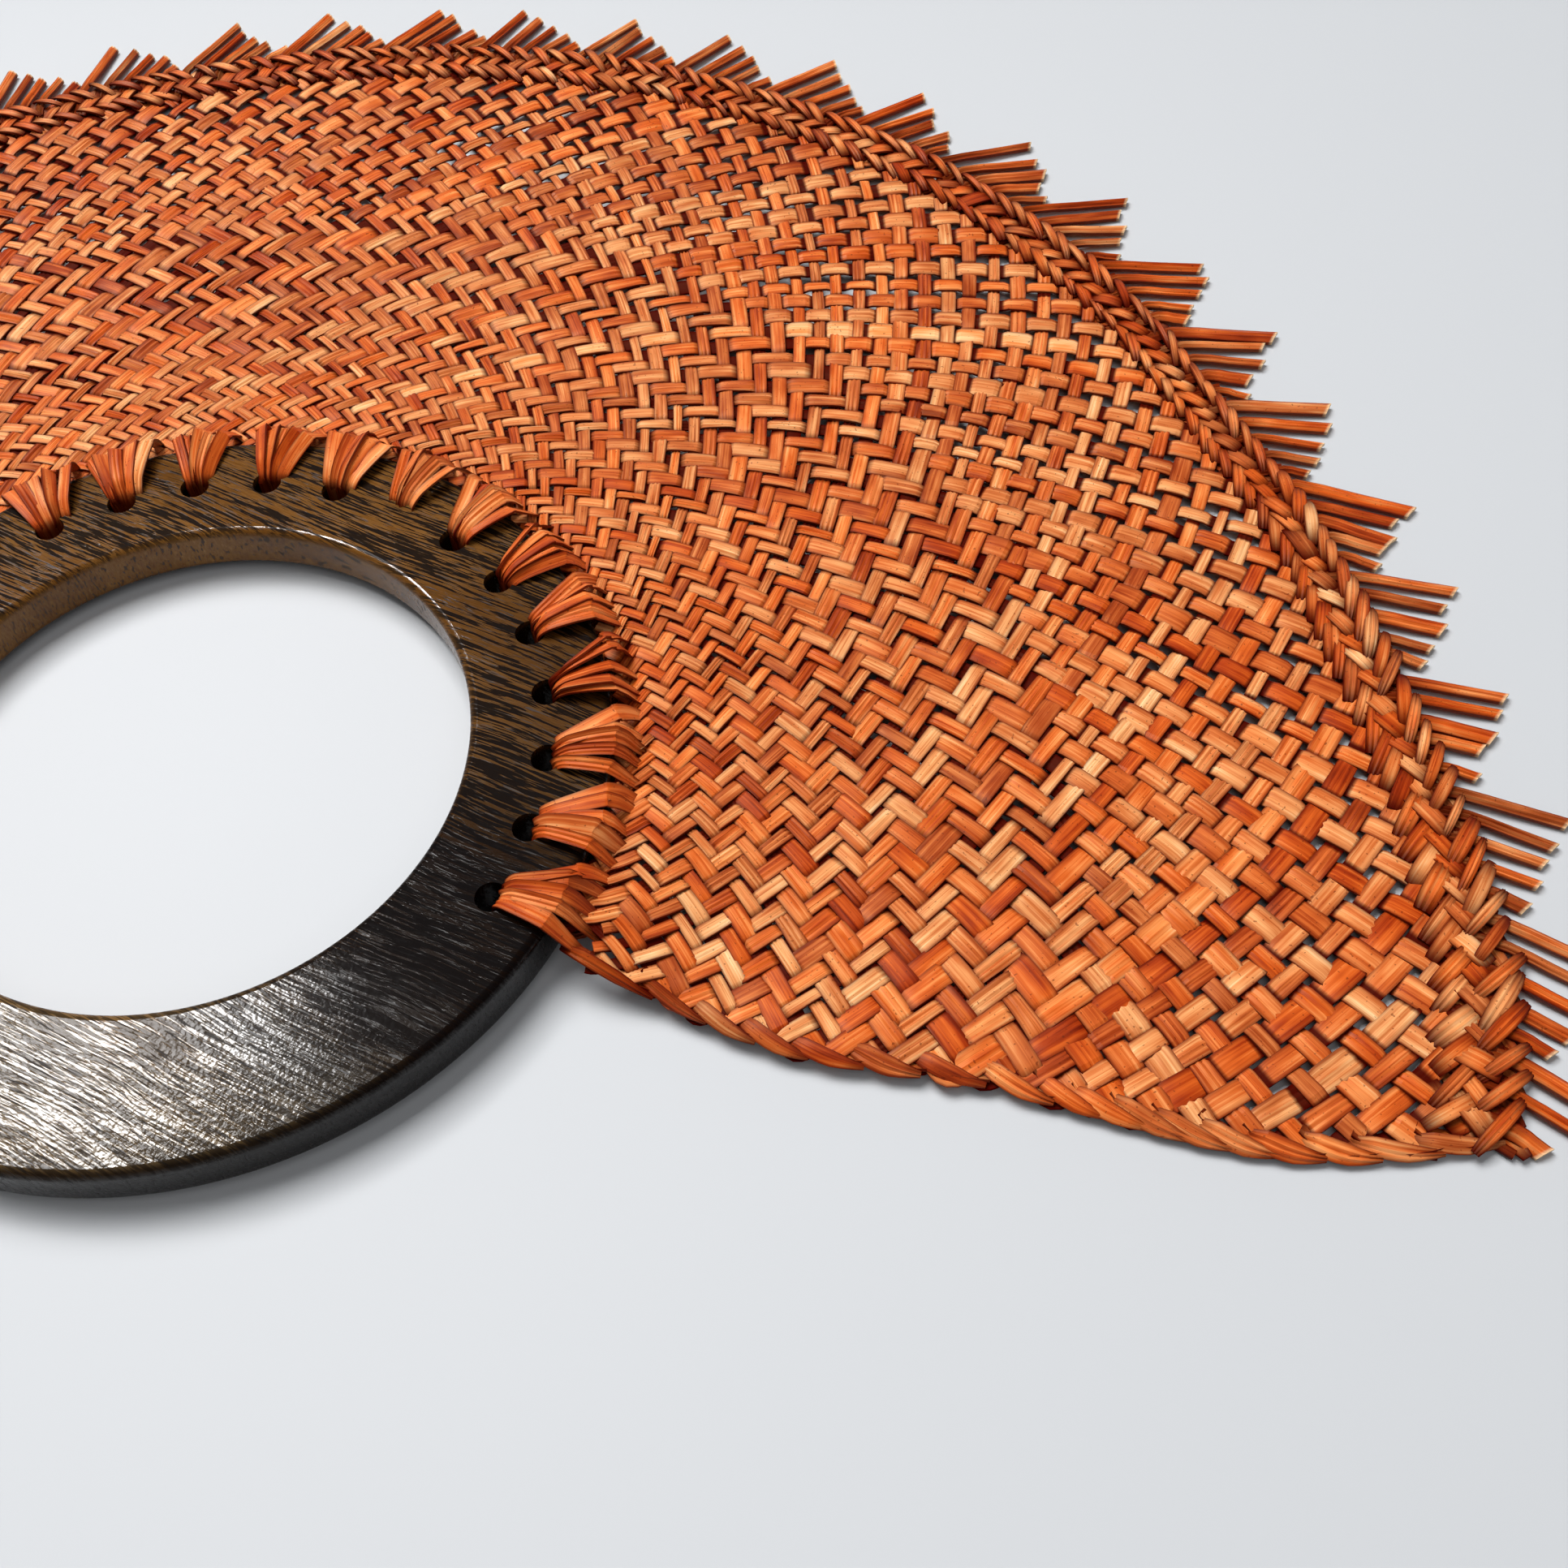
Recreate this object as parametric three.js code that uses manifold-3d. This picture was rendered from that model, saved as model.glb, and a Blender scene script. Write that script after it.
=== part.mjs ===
// A palm leaf fan: a turned wooden ring handle, leaf bundles laced through its drilled holes, a woven
// half-round blade, the braids that lock its edges and the saw-toothed fringe.
// Angles run clockwise from the fan's middle line, +Y, seen from the front.

import * as THREE from 'three';
import { mergeVertices } from 'three/addons/utils/BufferGeometryUtils.js';
import Module from 'manifold-3d';

const wasm = await Module();
wasm.setup();

// Driving dimensions, in millimetres
const ringOuterDiameter = 110;
const ringThickness = 6.5;
const palmSideWidth = 20;
const bladeSideWidth = 17.2;
const ringEdgeRound = 1.1;

const lacingHoleDiameter = 4;
const lacingHoleInset = 8;
const lacingHoleCount = 17;
const lastHoleToSelvedge = 3.8;
const stripsPerBundle = 5;
const lacingHeight = 1;
const lacingTailLength = 2;
const lacingTailTaper = 0.5;
const bundleThickness = 1.5;
const bundleGap = 2.3;

const rimRadius = 156;
const cornerFlare = 8.5;
const flareLength = 75;
const baseDrop = 13.3;
const selvedgeBulge = 2.4;
const bulgeRadius = 86;
const bulgeHalfLength = 24;
const cornerRise = 10.5;
const cornerRiseLength = 35;
const bladeThickness = 1.2;

const rimBraidWidth = 8.5;
const rimBraidHeight = 2.2;
const innerWrapHeight = 2;
const rimBraidFootInset = 1;
const selvedgeWidth = 4;
const selvedgeHeight = 2;

const fringeLongest = 14.5;
const fringeShortest = 3.5;
const toothSpacing = 17.6;
const stripsPerTooth = 5;
const fringeStripGap = 0.9;
const fringeStripThickness = 0.5;
const fringeBackingWidth = 1.2;
const fringeLean = THREE.MathUtils.degToRad(31);
const fringeLeanLeast = THREE.MathUtils.degToRad(18);
const fringeLeanMost = THREE.MathUtils.degToRad(36);
const fringeLeanLoss = 0.16;
const fringeNames = ['fringe_far_left', 'fringe_left', 'fringe_right', 'fringe_far_right'];

// Room left between pieces that touch on the real fan
const clearance = 0.3;

// Shares of a lacing bundle's height that are left between two strips and at its two sides
const bundleValley = 0.62;
const bundleSide = 0.4;

// Direction from a lacing hole's middle to the corners of the bundle inside it
const plugCorner = THREE.MathUtils.degToRad(49);

// Facet counts
const ringFacets = 60;
const holeFacets = 8;
const bladeSteps = 46;
const selvedgeSteps = 10;
const selvedgeFacets = 8;
const wrapFacets = 5;

// Heights: the fan lies on the backs of its lacing bundles and on its rim braid
const ringRadius = ringOuterDiameter / 2;
const gripRadius = (ringOuterDiameter - palmSideWidth - bladeSideWidth) / 2;
const gripOffset = (palmSideWidth - bladeSideWidth) / 2;
const ringBack = lacingHeight + clearance;
const ringMiddle = ringBack + ringThickness / 2;
const rimMiddle = rimBraidHeight / 2;

// Radii that follow from the ring and the rim
const lacingRadius = ringRadius - lacingHoleInset;
const bundleEnd = ringRadius + clearance + lacingTailLength;
const bladeInnerRadius = bundleEnd + clearance;
const cornerRadius = rimRadius + cornerFlare;
const flareStart = Math.PI / 2 - flareLength / rimRadius;
const rimEnd = selvedgeAngle(cornerRadius - rimBraidWidth / 2);

// Angles of the lacing holes: the last one sits just inside the blade's lower edge
const lastHoleAngle = selvedgeAngle(bladeInnerRadius) - lastHoleToSelvedge / bladeInnerRadius;
const lacingPitch = (2 * lastHoleAngle) / (lacingHoleCount - 1);

const wood = new THREE.MeshStandardMaterial({ color: 0x3b2a1d, roughness: 0.35, metalness: 0 });
const leaf = new THREE.MeshStandardMaterial({ color: 0xb9632f, roughness: 0.6, metalness: 0 });

// Radius of the rim's outer edge: round, with the two lower corners drawn out
function rimRadiusAt(angle) {
  return rimRadius + cornerFlare * THREE.MathUtils.smoothstep(Math.abs(angle), flareStart, Math.PI / 2);
}

// Angle of the blade's lower edge, which runs level, bulges near the ring and lifts towards the corner
function selvedgeAngle(radius) {
  const lift = Math.max(0, (radius - cornerRadius + cornerRiseLength) / cornerRiseLength);
  const fromBulge = THREE.MathUtils.clamp((radius - bulgeRadius) / bulgeHalfLength, -1, 1);
  const bulge = (selvedgeBulge * (1 + Math.cos(Math.PI * fromBulge))) / 2;
  const drop = baseDrop + bulge - cornerRise * lift ** 2;
  return Math.PI / 2 + Math.asin(drop / radius);
}

// Height of the weave's middle: it falls from the middle of the ring's edge to the rim
function weaveHeight(radius) {
  const share = (radius - bladeInnerRadius) / (rimRadius - rimBraidWidth - bladeInnerRadius);
  return THREE.MathUtils.lerp(ringMiddle, rimMiddle, THREE.MathUtils.clamp(share, 0, 1));
}

// Angle of the woven blade's edge, just inside the selvedge braid
function bladeEdgeAngle(radius) {
  return selvedgeAngle(radius) - (selvedgeWidth + clearance) / radius;
}

// Radius of the woven blade's outer edge, just inside the rim braid, at a share of the way to its lower edge
function bladeOuterRadius(across) {
  let radius = rimRadius;
  for (let pass = 0; pass < 5; pass += 1) {
    radius = rimRadiusAt(across * bladeEdgeAngle(radius)) - rimBraidWidth - clearance;
  }
  return radius;
}

function place(radius, angle, height) {
  return new THREE.Vector3(radius * Math.sin(angle), radius * Math.cos(angle), height);
}

// A geometry of shared corners whose faces all point out
function solidGeometry(positions, triangles) {
  let volume = 0;
  const corners = [0, 1, 2].map(() => new THREE.Vector3());
  for (let first = 0; first < triangles.length; first += 3) {
    corners.forEach((corner, k) => corner.fromArray(positions, 3 * triangles[first + k]));
    volume += corners[0].dot(corners[1].clone().cross(corners[2]));
  }
  const geometry = new THREE.BufferGeometry();
  geometry.setAttribute('position', new THREE.Float32BufferAttribute(positions, 3));
  geometry.setIndex(volume > 0 ? triangles : triangles.toReversed());
  geometry.computeVertexNormals();
  return geometry;
}

// Triangles that cap a section which runs out along one side of a sheet and back along its other side
function sheetCap(size) {
  const triangles = [];
  for (let k = 0; k < size / 2 - 1; k += 1) {
    const across = size - 1 - k;
    triangles.push([k, k + 1, across - 1], [k, across - 1, across]);
  }
  return triangles;
}

function flatCap(outline) {
  return THREE.ShapeUtils.triangulateShape(outline, []);
}

// A closed solid through a row of sections with equal point counts. A row that is given a cap's triangles ends
// in two caps, and a row without them closes on itself as a loop.
function loft(sections, cap) {
  const size = sections[0].length;
  const positions = sections.flat().flatMap((point) => point.toArray());
  const triangles = [];
  const bands = cap ? sections.length - 1 : sections.length;
  for (let band = 0; band < bands; band += 1) {
    const here = band * size;
    const next = ((band + 1) % sections.length) * size;
    for (let k = 0; k < size; k += 1) {
      const turn = (k + 1) % size;
      triangles.push(here + k, next + k, next + turn, here + k, next + turn, here + turn);
    }
  }
  if (cap) {
    const last = bands * size;
    for (const [a, b, c] of cap) {
      triangles.push(a, b, c, last + c, last + b, last + a);
    }
  }
  return solidGeometry(positions, triangles);
}

function toManifold(geometry) {
  const bare = geometry.clone();
  bare.deleteAttribute('normal');
  bare.deleteAttribute('uv');
  const merged = mergeVertices(bare, 1e-4);
  const vertProperties = new Float32Array(merged.attributes.position.array);
  const triVerts = new Uint32Array(merged.index.array);
  return new wasm.Manifold(new wasm.Mesh({ numProp: 3, vertProperties, triVerts }));
}

function toGeometry(manifold) {
  const mesh = manifold.getMesh();
  return solidGeometry(Array.from(mesh.vertProperties), Array.from(mesh.triVerts));
}

function namedMesh(name, geometry, material) {
  const mesh = new THREE.Mesh(geometry, material);
  mesh.name = name;
  return mesh;
}

function lacingAngle(index) {
  return -lastHoleAngle + index * lacingPitch;
}

// The ring: a board with rounded edges, an offset grip hole and a row of drilled lacing holes
function ringHandle() {
  const outline = new THREE.Shape();
  outline.absarc(0, 0, ringRadius, 0, 2 * Math.PI);
  const grip = new THREE.Path();
  grip.absarc(0, gripOffset, gripRadius, 0, 2 * Math.PI);
  outline.holes.push(grip);
  const board = new THREE.ExtrudeGeometry(outline, {
    depth: ringThickness - 2 * ringEdgeRound,
    curveSegments: ringFacets,
    bevelThickness: ringEdgeRound,
    bevelSize: ringEdgeRound,
    bevelOffset: -ringEdgeRound,
    bevelSegments: 2,
  });
  board.translate(0, 0, ringBack + ringEdgeRound);
  let ring = toManifold(board);
  for (let index = 0; index < lacingHoleCount; index += 1) {
    const drill = new THREE.CylinderGeometry(
      lacingHoleDiameter / 2,
      lacingHoleDiameter / 2,
      2 * ringThickness,
      holeFacets,
    );
    drill.rotateX(Math.PI / 2);
    const centre = place(lacingRadius, lacingAngle(index), ringMiddle);
    drill.translate(centre.x, centre.y, centre.z);
    ring = ring.subtract(toManifold(drill));
  }
  return namedMesh('ring_handle', toGeometry(ring), wood);
}

// Stations along one face of a lacing bundle, from inside the hole to the crease past the ring's edge.
// Each gives the side that lies on the ring, the side that shows and half the bundle's width there.
function lacingStations() {
  const face = ringThickness / 2;
  const seat = face + clearance;
  const top = seat + lacingHeight;
  const plugReach = (lacingHoleDiameter / 2) * Math.cos(Math.PI / holeFacets) - clearance;
  const plugHalfWidth = plugReach * Math.sin(plugCorner);
  const plugOuterSide = lacingRadius + plugReach * Math.cos(plugCorner);
  const plugInnerSide = plugOuterSide - bundleThickness;
  const holeEdge = lacingRadius + lacingHoleDiameter / 2;
  const ringEdge = ringRadius + clearance;
  const midFace = (holeEdge + ringRadius) / 2;
  const fullHalfWidth = (lacingPitch * bundleEnd - bundleGap) / 2;
  const station = (innerRadius, innerHeight, outerRadius, outerHeight) => ({
    inner: new THREE.Vector2(innerRadius, innerHeight),
    outer: new THREE.Vector2(outerRadius, outerHeight),
    halfWidth: THREE.MathUtils.mapLinear(
      Math.max(innerRadius, plugOuterSide),
      plugOuterSide,
      ringEdge,
      plugHalfWidth,
      fullHalfWidth,
    ),
  });
  return [
    station(plugOuterSide, face, plugInnerSide, face),
    station(holeEdge, seat, plugInnerSide + clearance, top),
    station(midFace, seat, midFace, top),
    station(ringEdge, seat, ringEdge + clearance, top),
    station(ringEdge, face / 2, bundleEnd - lacingTailTaper, face / 2),
  ];
}

// One bundle: folded strips side by side, through the hole and over both faces to the edge of the weave
function lacingBundle(index) {
  const front = lacingStations();
  const mirrored = (station, side) => ({
    inner: new THREE.Vector2(station.inner.x, side * station.inner.y),
    outer: new THREE.Vector2(station.outer.x, side * station.outer.y),
    halfWidth: station.halfWidth,
  });
  const loop = [
    mirrored(front[0], 0),
    ...front,
    { ...mirrored(front.at(-1), 0), outer: new THREE.Vector2(bundleEnd, 0) },
    ...front.map((station) => mirrored(station, -1)).reverse(),
  ];
  const ridgeCount = 2 * stripsPerBundle;
  const ridgeHeight = (k) => {
    if (k === 0 || k === ridgeCount) return bundleSide;
    return k % 2 === 1 ? 1 : bundleValley;
  };
  const sections = loop.map(({ inner, outer, halfWidth }) => {
    const corner = (across, height) => {
      const point = inner.clone().lerp(outer, height);
      const angle = lacingAngle(index) + (across * halfWidth) / point.x;
      return place(point.x, angle, ringMiddle + point.y);
    };
    const section = [corner(1, 0), corner(-1, 0)];
    for (let k = 0; k <= ridgeCount; k += 1) {
      section.push(corner(-1 + (2 * k) / ridgeCount, ridgeHeight(k)));
    }
    return section;
  });
  const number = String(index + 1).padStart(2, '0');
  return namedMesh(`lacing_bundle_${number}`, loft(sections), leaf);
}

// The woven blade: a thin half-round sheet between the lacing, the rim braid and the two selvedges
function wovenBlade() {
  const outline = [];
  for (let step = 0; step <= selvedgeSteps; step += 1) {
    outline.push(new THREE.Vector2(step / selvedgeSteps, -bladeThickness / 2));
  }
  for (let step = selvedgeSteps; step >= 0; step -= 1) {
    outline.push(new THREE.Vector2(step / selvedgeSteps, bladeThickness / 2));
  }
  const sections = [];
  for (let step = 0; step <= bladeSteps; step += 1) {
    const across = -1 + (2 * step) / bladeSteps;
    const outerRadius = bladeOuterRadius(across);
    sections.push(outline.map(({ x, y }) => {
      const radius = THREE.MathUtils.lerp(bladeInnerRadius, outerRadius, x);
      return place(radius, across * bladeEdgeAngle(radius), weaveHeight(radius) + y);
    }));
  }
  return namedMesh('woven_blade', loft(sections, sheetCap(outline.length)), leaf);
}

// The rim braid: two rows of wraps side by side along the round edge, flat below
function rimBraid() {
  const rowWidth = rimBraidWidth / 2;
  const outline = [
    new THREE.Vector2(-rimBraidWidth + rimBraidFootInset, 0),
    new THREE.Vector2(-rimBraidFootInset, 0),
  ];
  [rimBraidHeight, innerWrapHeight].forEach((rowHeight, row) => {
    for (let k = 0; k < wrapFacets; k += 1) {
      const turn = (Math.PI * (k + 0.5)) / wrapFacets;
      const across = -rowWidth * (row + 0.5) + (rowWidth / 2) * Math.cos(turn);
      outline.push(new THREE.Vector2(across, rimMiddle + (rowHeight - rimMiddle) * Math.sin(turn)));
    }
  });
  const sections = [];
  for (let step = 0; step <= bladeSteps; step += 1) {
    const angle = rimEnd * (-1 + (2 * step) / bladeSteps);
    sections.push(outline.map(({ x, y }) => place(rimRadiusAt(angle) + x, angle, y)));
  }
  return namedMesh('rim_braid', loft(sections, flatCap(outline)), leaf);
}

// A selvedge braid: the rounded cord of turned-back strips along one lower edge
function selvedgeBraid(name, side) {
  const outline = [];
  for (let k = 0; k < selvedgeFacets; k += 1) {
    const turn = (2 * Math.PI * (k + 0.5)) / selvedgeFacets;
    outline.push(new THREE.Vector2(
      (selvedgeWidth / 2) * Math.cos(turn),
      (selvedgeHeight / 2) * Math.sin(turn),
    ));
  }
  const outerRadius = bladeOuterRadius(1);
  const sections = [];
  for (let step = 0; step <= selvedgeSteps; step += 1) {
    const radius = THREE.MathUtils.lerp(bladeInnerRadius, outerRadius, step / selvedgeSteps);
    const middle = selvedgeAngle(radius) - selvedgeWidth / 2 / radius;
    sections.push(outline.map(({ x, y }) => (
      place(radius, side * (middle + x / radius), weaveHeight(radius) + y)
    )));
  }
  return namedMesh(name, loft(sections, flatCap(outline)), leaf);
}

// Fringe strips are numbered from the middle line, which runs up the middle strip of a tooth
const fringePitch = toothSpacing / stripsPerTooth / rimRadius;
const halfTooth = Math.floor(stripsPerTooth / 2);
const outermostStrip = Math.floor(rimEnd / fringePitch - 0.5);
const outermostTooth = Math.floor((outermostStrip + halfTooth) / stripsPerTooth);

// Lean of a fringe strip away from the ring, clockwise. It gets less along the rim from left to right.
function fringeLeanAt(angle) {
  return THREE.MathUtils.clamp(fringeLean - fringeLeanLoss * angle, fringeLeanLeast, fringeLeanMost);
}

// One stretch of fringe: strips on a narrow slice of the rim, cut slantwise into saw teeth
function fringe(name, firstStrip, endStrip) {
  const baseRadius = (angle) => rimRadiusAt(angle) + clearance;
  const rootRadius = (angle) => baseRadius(angle) + fringeBackingWidth;
  const endGap = clearance / 2 / rimRadius;
  const startAngle = (firstStrip - 0.5) * fringePitch + endGap;
  const endAngle = (endStrip - 0.5) * fringePitch - endGap;
  const points = [];
  const add = (radius, angle, heading = 0, length = 0) => {
    const root = place(radius, angle, 0);
    points.push(new THREE.Vector2(
      root.x + length * Math.sin(heading),
      root.y + length * Math.cos(heading),
    ));
  };
  add(baseRadius(startAngle), startAngle);
  add(rootRadius(startAngle), startAngle);
  for (let strip = firstStrip; strip < endStrip; strip += 1) {
    const angle = strip * fringePitch;
    const lean = fringeLeanAt(angle);
    const spacing = fringePitch * rimRadius * Math.cos(lean);
    const width = spacing - fringeStripGap;
    const halfAngle = width / 2 / Math.cos(lean) / rootRadius(angle);
    const left = angle - halfAngle;
    const right = angle + halfAngle;
    const order = THREE.MathUtils.euclideanModulo(strip + halfTooth, stripsPerTooth);
    const cut = (share) => THREE.MathUtils.lerp(fringeLongest, fringeShortest, share / stripsPerTooth);
    add(rootRadius(left), left);
    add(rootRadius(left), left, angle + lean, cut(order));
    add(rootRadius(right), right, angle + lean, cut(order + width / spacing));
    add(rootRadius(right), right);
  }
  add(rootRadius(endAngle), endAngle);
  add(baseRadius(endAngle), endAngle);
  for (let strip = endStrip - 1; strip > firstStrip; strip -= 1) {
    const angle = (strip - 0.5) * fringePitch;
    add(baseRadius(angle), angle);
  }
  const geometry = new THREE.ExtrudeGeometry(new THREE.Shape(points), {
    depth: fringeStripThickness,
    bevelEnabled: false,
  });
  geometry.translate(0, 0, rimMiddle - fringeStripThickness / 2);
  return namedMesh(name, geometry, leaf);
}

const fan = new THREE.Group();
fan.add(ringHandle());
for (let index = 0; index < lacingHoleCount; index += 1) {
  fan.add(lacingBundle(index));
}
fan.add(wovenBlade());
fan.add(rimBraid());
fan.add(selvedgeBraid('selvedge_braid_left', -1));
fan.add(selvedgeBraid('selvedge_braid_right', 1));
const quarterTooth = Math.round(outermostTooth / 2);
const innerSeams = [-quarterTooth, 0, quarterTooth].map((tooth) => tooth * stripsPerTooth - halfTooth);
const fringeSeams = [-outermostStrip, ...innerSeams, outermostStrip + 1];
fringeNames.forEach((name, part) => fan.add(fringe(name, fringeSeams[part], fringeSeams[part + 1])));

// The origin is under the middle of the fan's box
const box = new THREE.Box3().setFromObject(fan);
const middle = box.getCenter(new THREE.Vector3());
fan.position.set(-middle.x, -middle.y, -box.min.z);

export default fan;
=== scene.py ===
"""A hand fan: dyed palm leaf strips laced to a lacquered wooden ring, woven outward and cut to a fringe.

Angles run clockwise from the fan's middle line, +Y, seen from the front. The clockwise family of strips
turns clockwise on its way out to the rim, and the other family turns the other way. Side 1 is the front of
the fan and side -1 its back.
"""

from math import cos, exp, hypot, pi, radians, sin

import bpy
import numpy as np
from mathutils import Matrix, Vector


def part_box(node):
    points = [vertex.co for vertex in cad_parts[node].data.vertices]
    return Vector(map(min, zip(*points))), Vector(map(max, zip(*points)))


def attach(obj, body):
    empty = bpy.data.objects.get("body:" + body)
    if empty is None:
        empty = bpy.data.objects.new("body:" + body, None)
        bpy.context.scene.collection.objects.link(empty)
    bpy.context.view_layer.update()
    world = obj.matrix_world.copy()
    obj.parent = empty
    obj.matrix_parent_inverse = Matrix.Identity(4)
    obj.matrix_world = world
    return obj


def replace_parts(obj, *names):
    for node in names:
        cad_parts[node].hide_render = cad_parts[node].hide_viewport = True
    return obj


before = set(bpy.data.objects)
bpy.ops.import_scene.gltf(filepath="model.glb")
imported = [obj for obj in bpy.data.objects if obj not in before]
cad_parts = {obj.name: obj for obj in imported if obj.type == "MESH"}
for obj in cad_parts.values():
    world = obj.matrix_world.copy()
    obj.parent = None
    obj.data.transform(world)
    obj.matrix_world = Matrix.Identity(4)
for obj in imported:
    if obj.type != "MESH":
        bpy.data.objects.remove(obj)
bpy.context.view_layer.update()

MM = 0.001
rng = np.random.default_rng(17)
# Stretches of the weave and of the fringe
STRETCHES = ("far_left", "left", "right", "far_right")

# The ring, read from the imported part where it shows
RING_LOW, RING_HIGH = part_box("ring_handle")
RING_CENTRE = (RING_LOW + RING_HIGH) / 2
RING_RADIUS = (RING_HIGH.x - RING_LOW.x) / 2
RING_FACE = (RING_HIGH.z - RING_LOW.z) / 2
GRIP_RADIUS = 36.4 * MM
GRIP_OFFSET = 1.4 * MM
RING_EDGE_ROUND = 1.1 * MM
RING_FACETS, EDGE_FACETS, HOLE_FACETS = 192, 6, 24
SHARP_BOARD_EDGE = radians(30)

# The lacing
LACING_HOLE_RADIUS = 2 * MM
LACING_RADIUS = RING_RADIUS - 8 * MM
LACING_HOLES = 17
LAST_HOLE_TO_SELVEDGE = 3.8 * MM
STRIPS_PER_BUNDLE = 5
LACING_RIBBONS = 5
LACING_THICKNESS = 0.26 * MM
# A ribbon's way through its hole, over the ring's face and down the ring's edge into the weave, in
# millimetres: radius, share of the bundle's spread, height over the face and width
RIBBON_STATIONS = np.array([
    (47.6, 0.36, -3.2, 1.5),
    (47.7, 0.37, -0.9, 1.5),
    (48.3, 0.40, 0.3, 1.6),
    (49.8, 0.48, 0.75, 1.75),
    (51.6, 0.59, 1.05, 1.9),
    (53.6, 0.72, 1.2, 1.95),
    (55.4, 0.83, 1.15, 2.0),
    (55.7, 0.85, 1.0, 2.0),
    (56.8, 0.92, -0.1, 1.8),
    (58.2, 0.98, -1.7, 1.35),
    (60.2, 1.00, -3.8, 1.0),
])
# Where a ribbon changes on its way: heights for the hole's mouth and radii for the rest
HOLE_MOUTH = (-1.2, 0.3)
BESIDE_HOLE = (47.6, 48.6)
ONTO_FACE = (47.8, 50)
FLAT_ON_FACE = (49, 50)
CREASE = (55.4, 55.9)
OFF_FACE = (56.5, 58.5)
UNDER_WEAVE = (57.8, 59)
# How single ribbons differ, lengths in millimetres. A pair is a middle with its spread, or two limits where
# its name is a plural
RIBBON_STRAY = 0.1
RIBBON_BOW, BOW_SPREAD = 0.06, 0.03
RIBBON_HUMP, LOOSEST_RIBBON = 0.3, 0.8
RIBBON_FAN, RIBBON_ROLLS = 0.25, (0.2, 0.6)
RIBBON_SHIFT = 0.3
RIBBON_WIDTH = (1.02, 0.13)
RIBBON_CROWNS = (-0.22, 0.14)
RIBBON_FOLDS = (0, 0, -0.06, 0.08)
RIBBON_TONE, RIBBON_MOST_FADED = 0.48, 0.42
CREASE_LEAN = 0.9
# On the back the bundles lie flatter and keep further from the selvedges, in strips
BACK_RIBBON_LIFT, BACK_RIBBON_HEIGHT = 0.3, 0.4
FRONT_MARGIN, BACK_MARGIN = 0.3, 2.6

# The blade's outline
BLADE_INNER = 57.6 * MM
RIM_RADIUS = 156 * MM
CORNER_FLARE = 8.5 * MM
FLARE_LENGTH = 75 * MM
BASE_DROP = 13.3 * MM
SELVEDGE_BULGE = 2.4 * MM
BULGE_RADIUS = 86 * MM
BULGE_HALF_LENGTH = 24 * MM
CORNER_RISE = 10.5 * MM
CORNER_RISE_LENGTH = 35 * MM
RIM_BRAID_WIDTH = 8.5 * MM
RIM_MIDDLE = 1.1 * MM
CORNER_RADIUS = RIM_RADIUS + CORNER_FLARE
FLARE_START = pi / 2 - FLARE_LENGTH / RIM_RADIUS
# The rim of the real fan sways in and out of its round line: angle in degrees and sway in millimetres
RIM_SWAY = np.array([
    (-90, -1.6), (-62, -0.6), (-34, 1.3), (0, 2.4), (20, 1.2), (36, -1.0), (50, -3.4), (62, -1.8), (90, -1.6),
])

# The weave: both families wind out along spirals of this slope and cross in rows
STRIPS = LACING_HOLES * STRIPS_PER_BUNDLE
SPIRAL_SLOPE = 1.1
FIRST_ROW = -2
FIRST_ROW_BESIDE_EDGE = 1
LAST_ROW = 49
FIRST_PLAIN_ROW = 34
TWILL_TO_PLAIN = (FIRST_PLAIN_ROW - 3, FIRST_PLAIN_ROW + 1)
TWILL_REPEAT, PLAIN_REPEAT = 4, 2
# A strip arches over a crossing, and lies flatter on it in the plain rows: shares of the way to the next
# crossing, and of the climb or dive to it
ARCHED_STEPS, ARCHED_CLIMB = np.array([(0, 0), (0.3, 0.1), (0.5, 0.5), (0.7, 0.9)]).T
PLAIN_STEPS, PLAIN_CLIMB = np.array([(0, 0), (0.36, 0.04), (0.5, 0.5), (0.64, 0.96)]).T
LATE_DIVE = 0.05
ROW_RISE, ROW_RISE_SKEW = 6.3 * MM, 0.6
SELVEDGE_INSET = 0.8 * MM
TUCK_DEPTH = 0.4 * MM
# The lacing pulls the weave up between these radii, and it droops towards the selvedges
LACED_RISE, LACED_RADII = 1.2 * MM, (60 * MM, 80 * MM)
EDGE_DROOP, DROOP_TURN, FULL_DROOP_RADIUS = 0.55, 0.4, 74 * MM
LEAF_THICKNESS = 0.3 * MM
CROSSING_LIFT = 0.24 * MM
PLAIN_LIFT = 0.18 * MM
WEAVE_CROWN = 0.07 * MM
WEAVE_FOLDS = (0, 0, 0.05, 0.08, -0.09)
WEAVE_TONE = 0.515
# Strip widths, as a share of the room that a strip has and at most. Both families are even at the corners.
# Elsewhere the clockwise one is wide, and the narrow one gains width to the right and to the left.
EVEN_SHARE, EVEN_MOST = 0.97, 3.0 * MM
WIDE_SHARE, WIDE_MOST = 0.9, 2.8 * MM
NARROW_SHARE, NARROW_MOST_MM, NARROW_GAIN_MM = 0.8, 1.82, 0.3
GAIN_ANGLES_RIGHT, GAIN_ANGLES_LEFT = (0.2, 0.9), (0.6, 1.1)
CORNER_ANGLES = (radians(60), radians(92))
# How single strips differ: waves by height and by slowest and fastest turn in a row
WANDER_SHARE, WANDER_TURNS = 0.08, (0.1, 0.35)
SWELL, SWELL_TURNS = 0.09, (0.2, 0.9)
ROLL, ROLL_TURNS = 0.13, (0.5, 1.1)
OWN_WIDTH, OWN_WIDTH_LIMITS = (0.98, 0.13), (0.74, 1.2)
BETWEEN_WIDTH, LIFTED_GAIN = 0.97, 0.03
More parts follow.
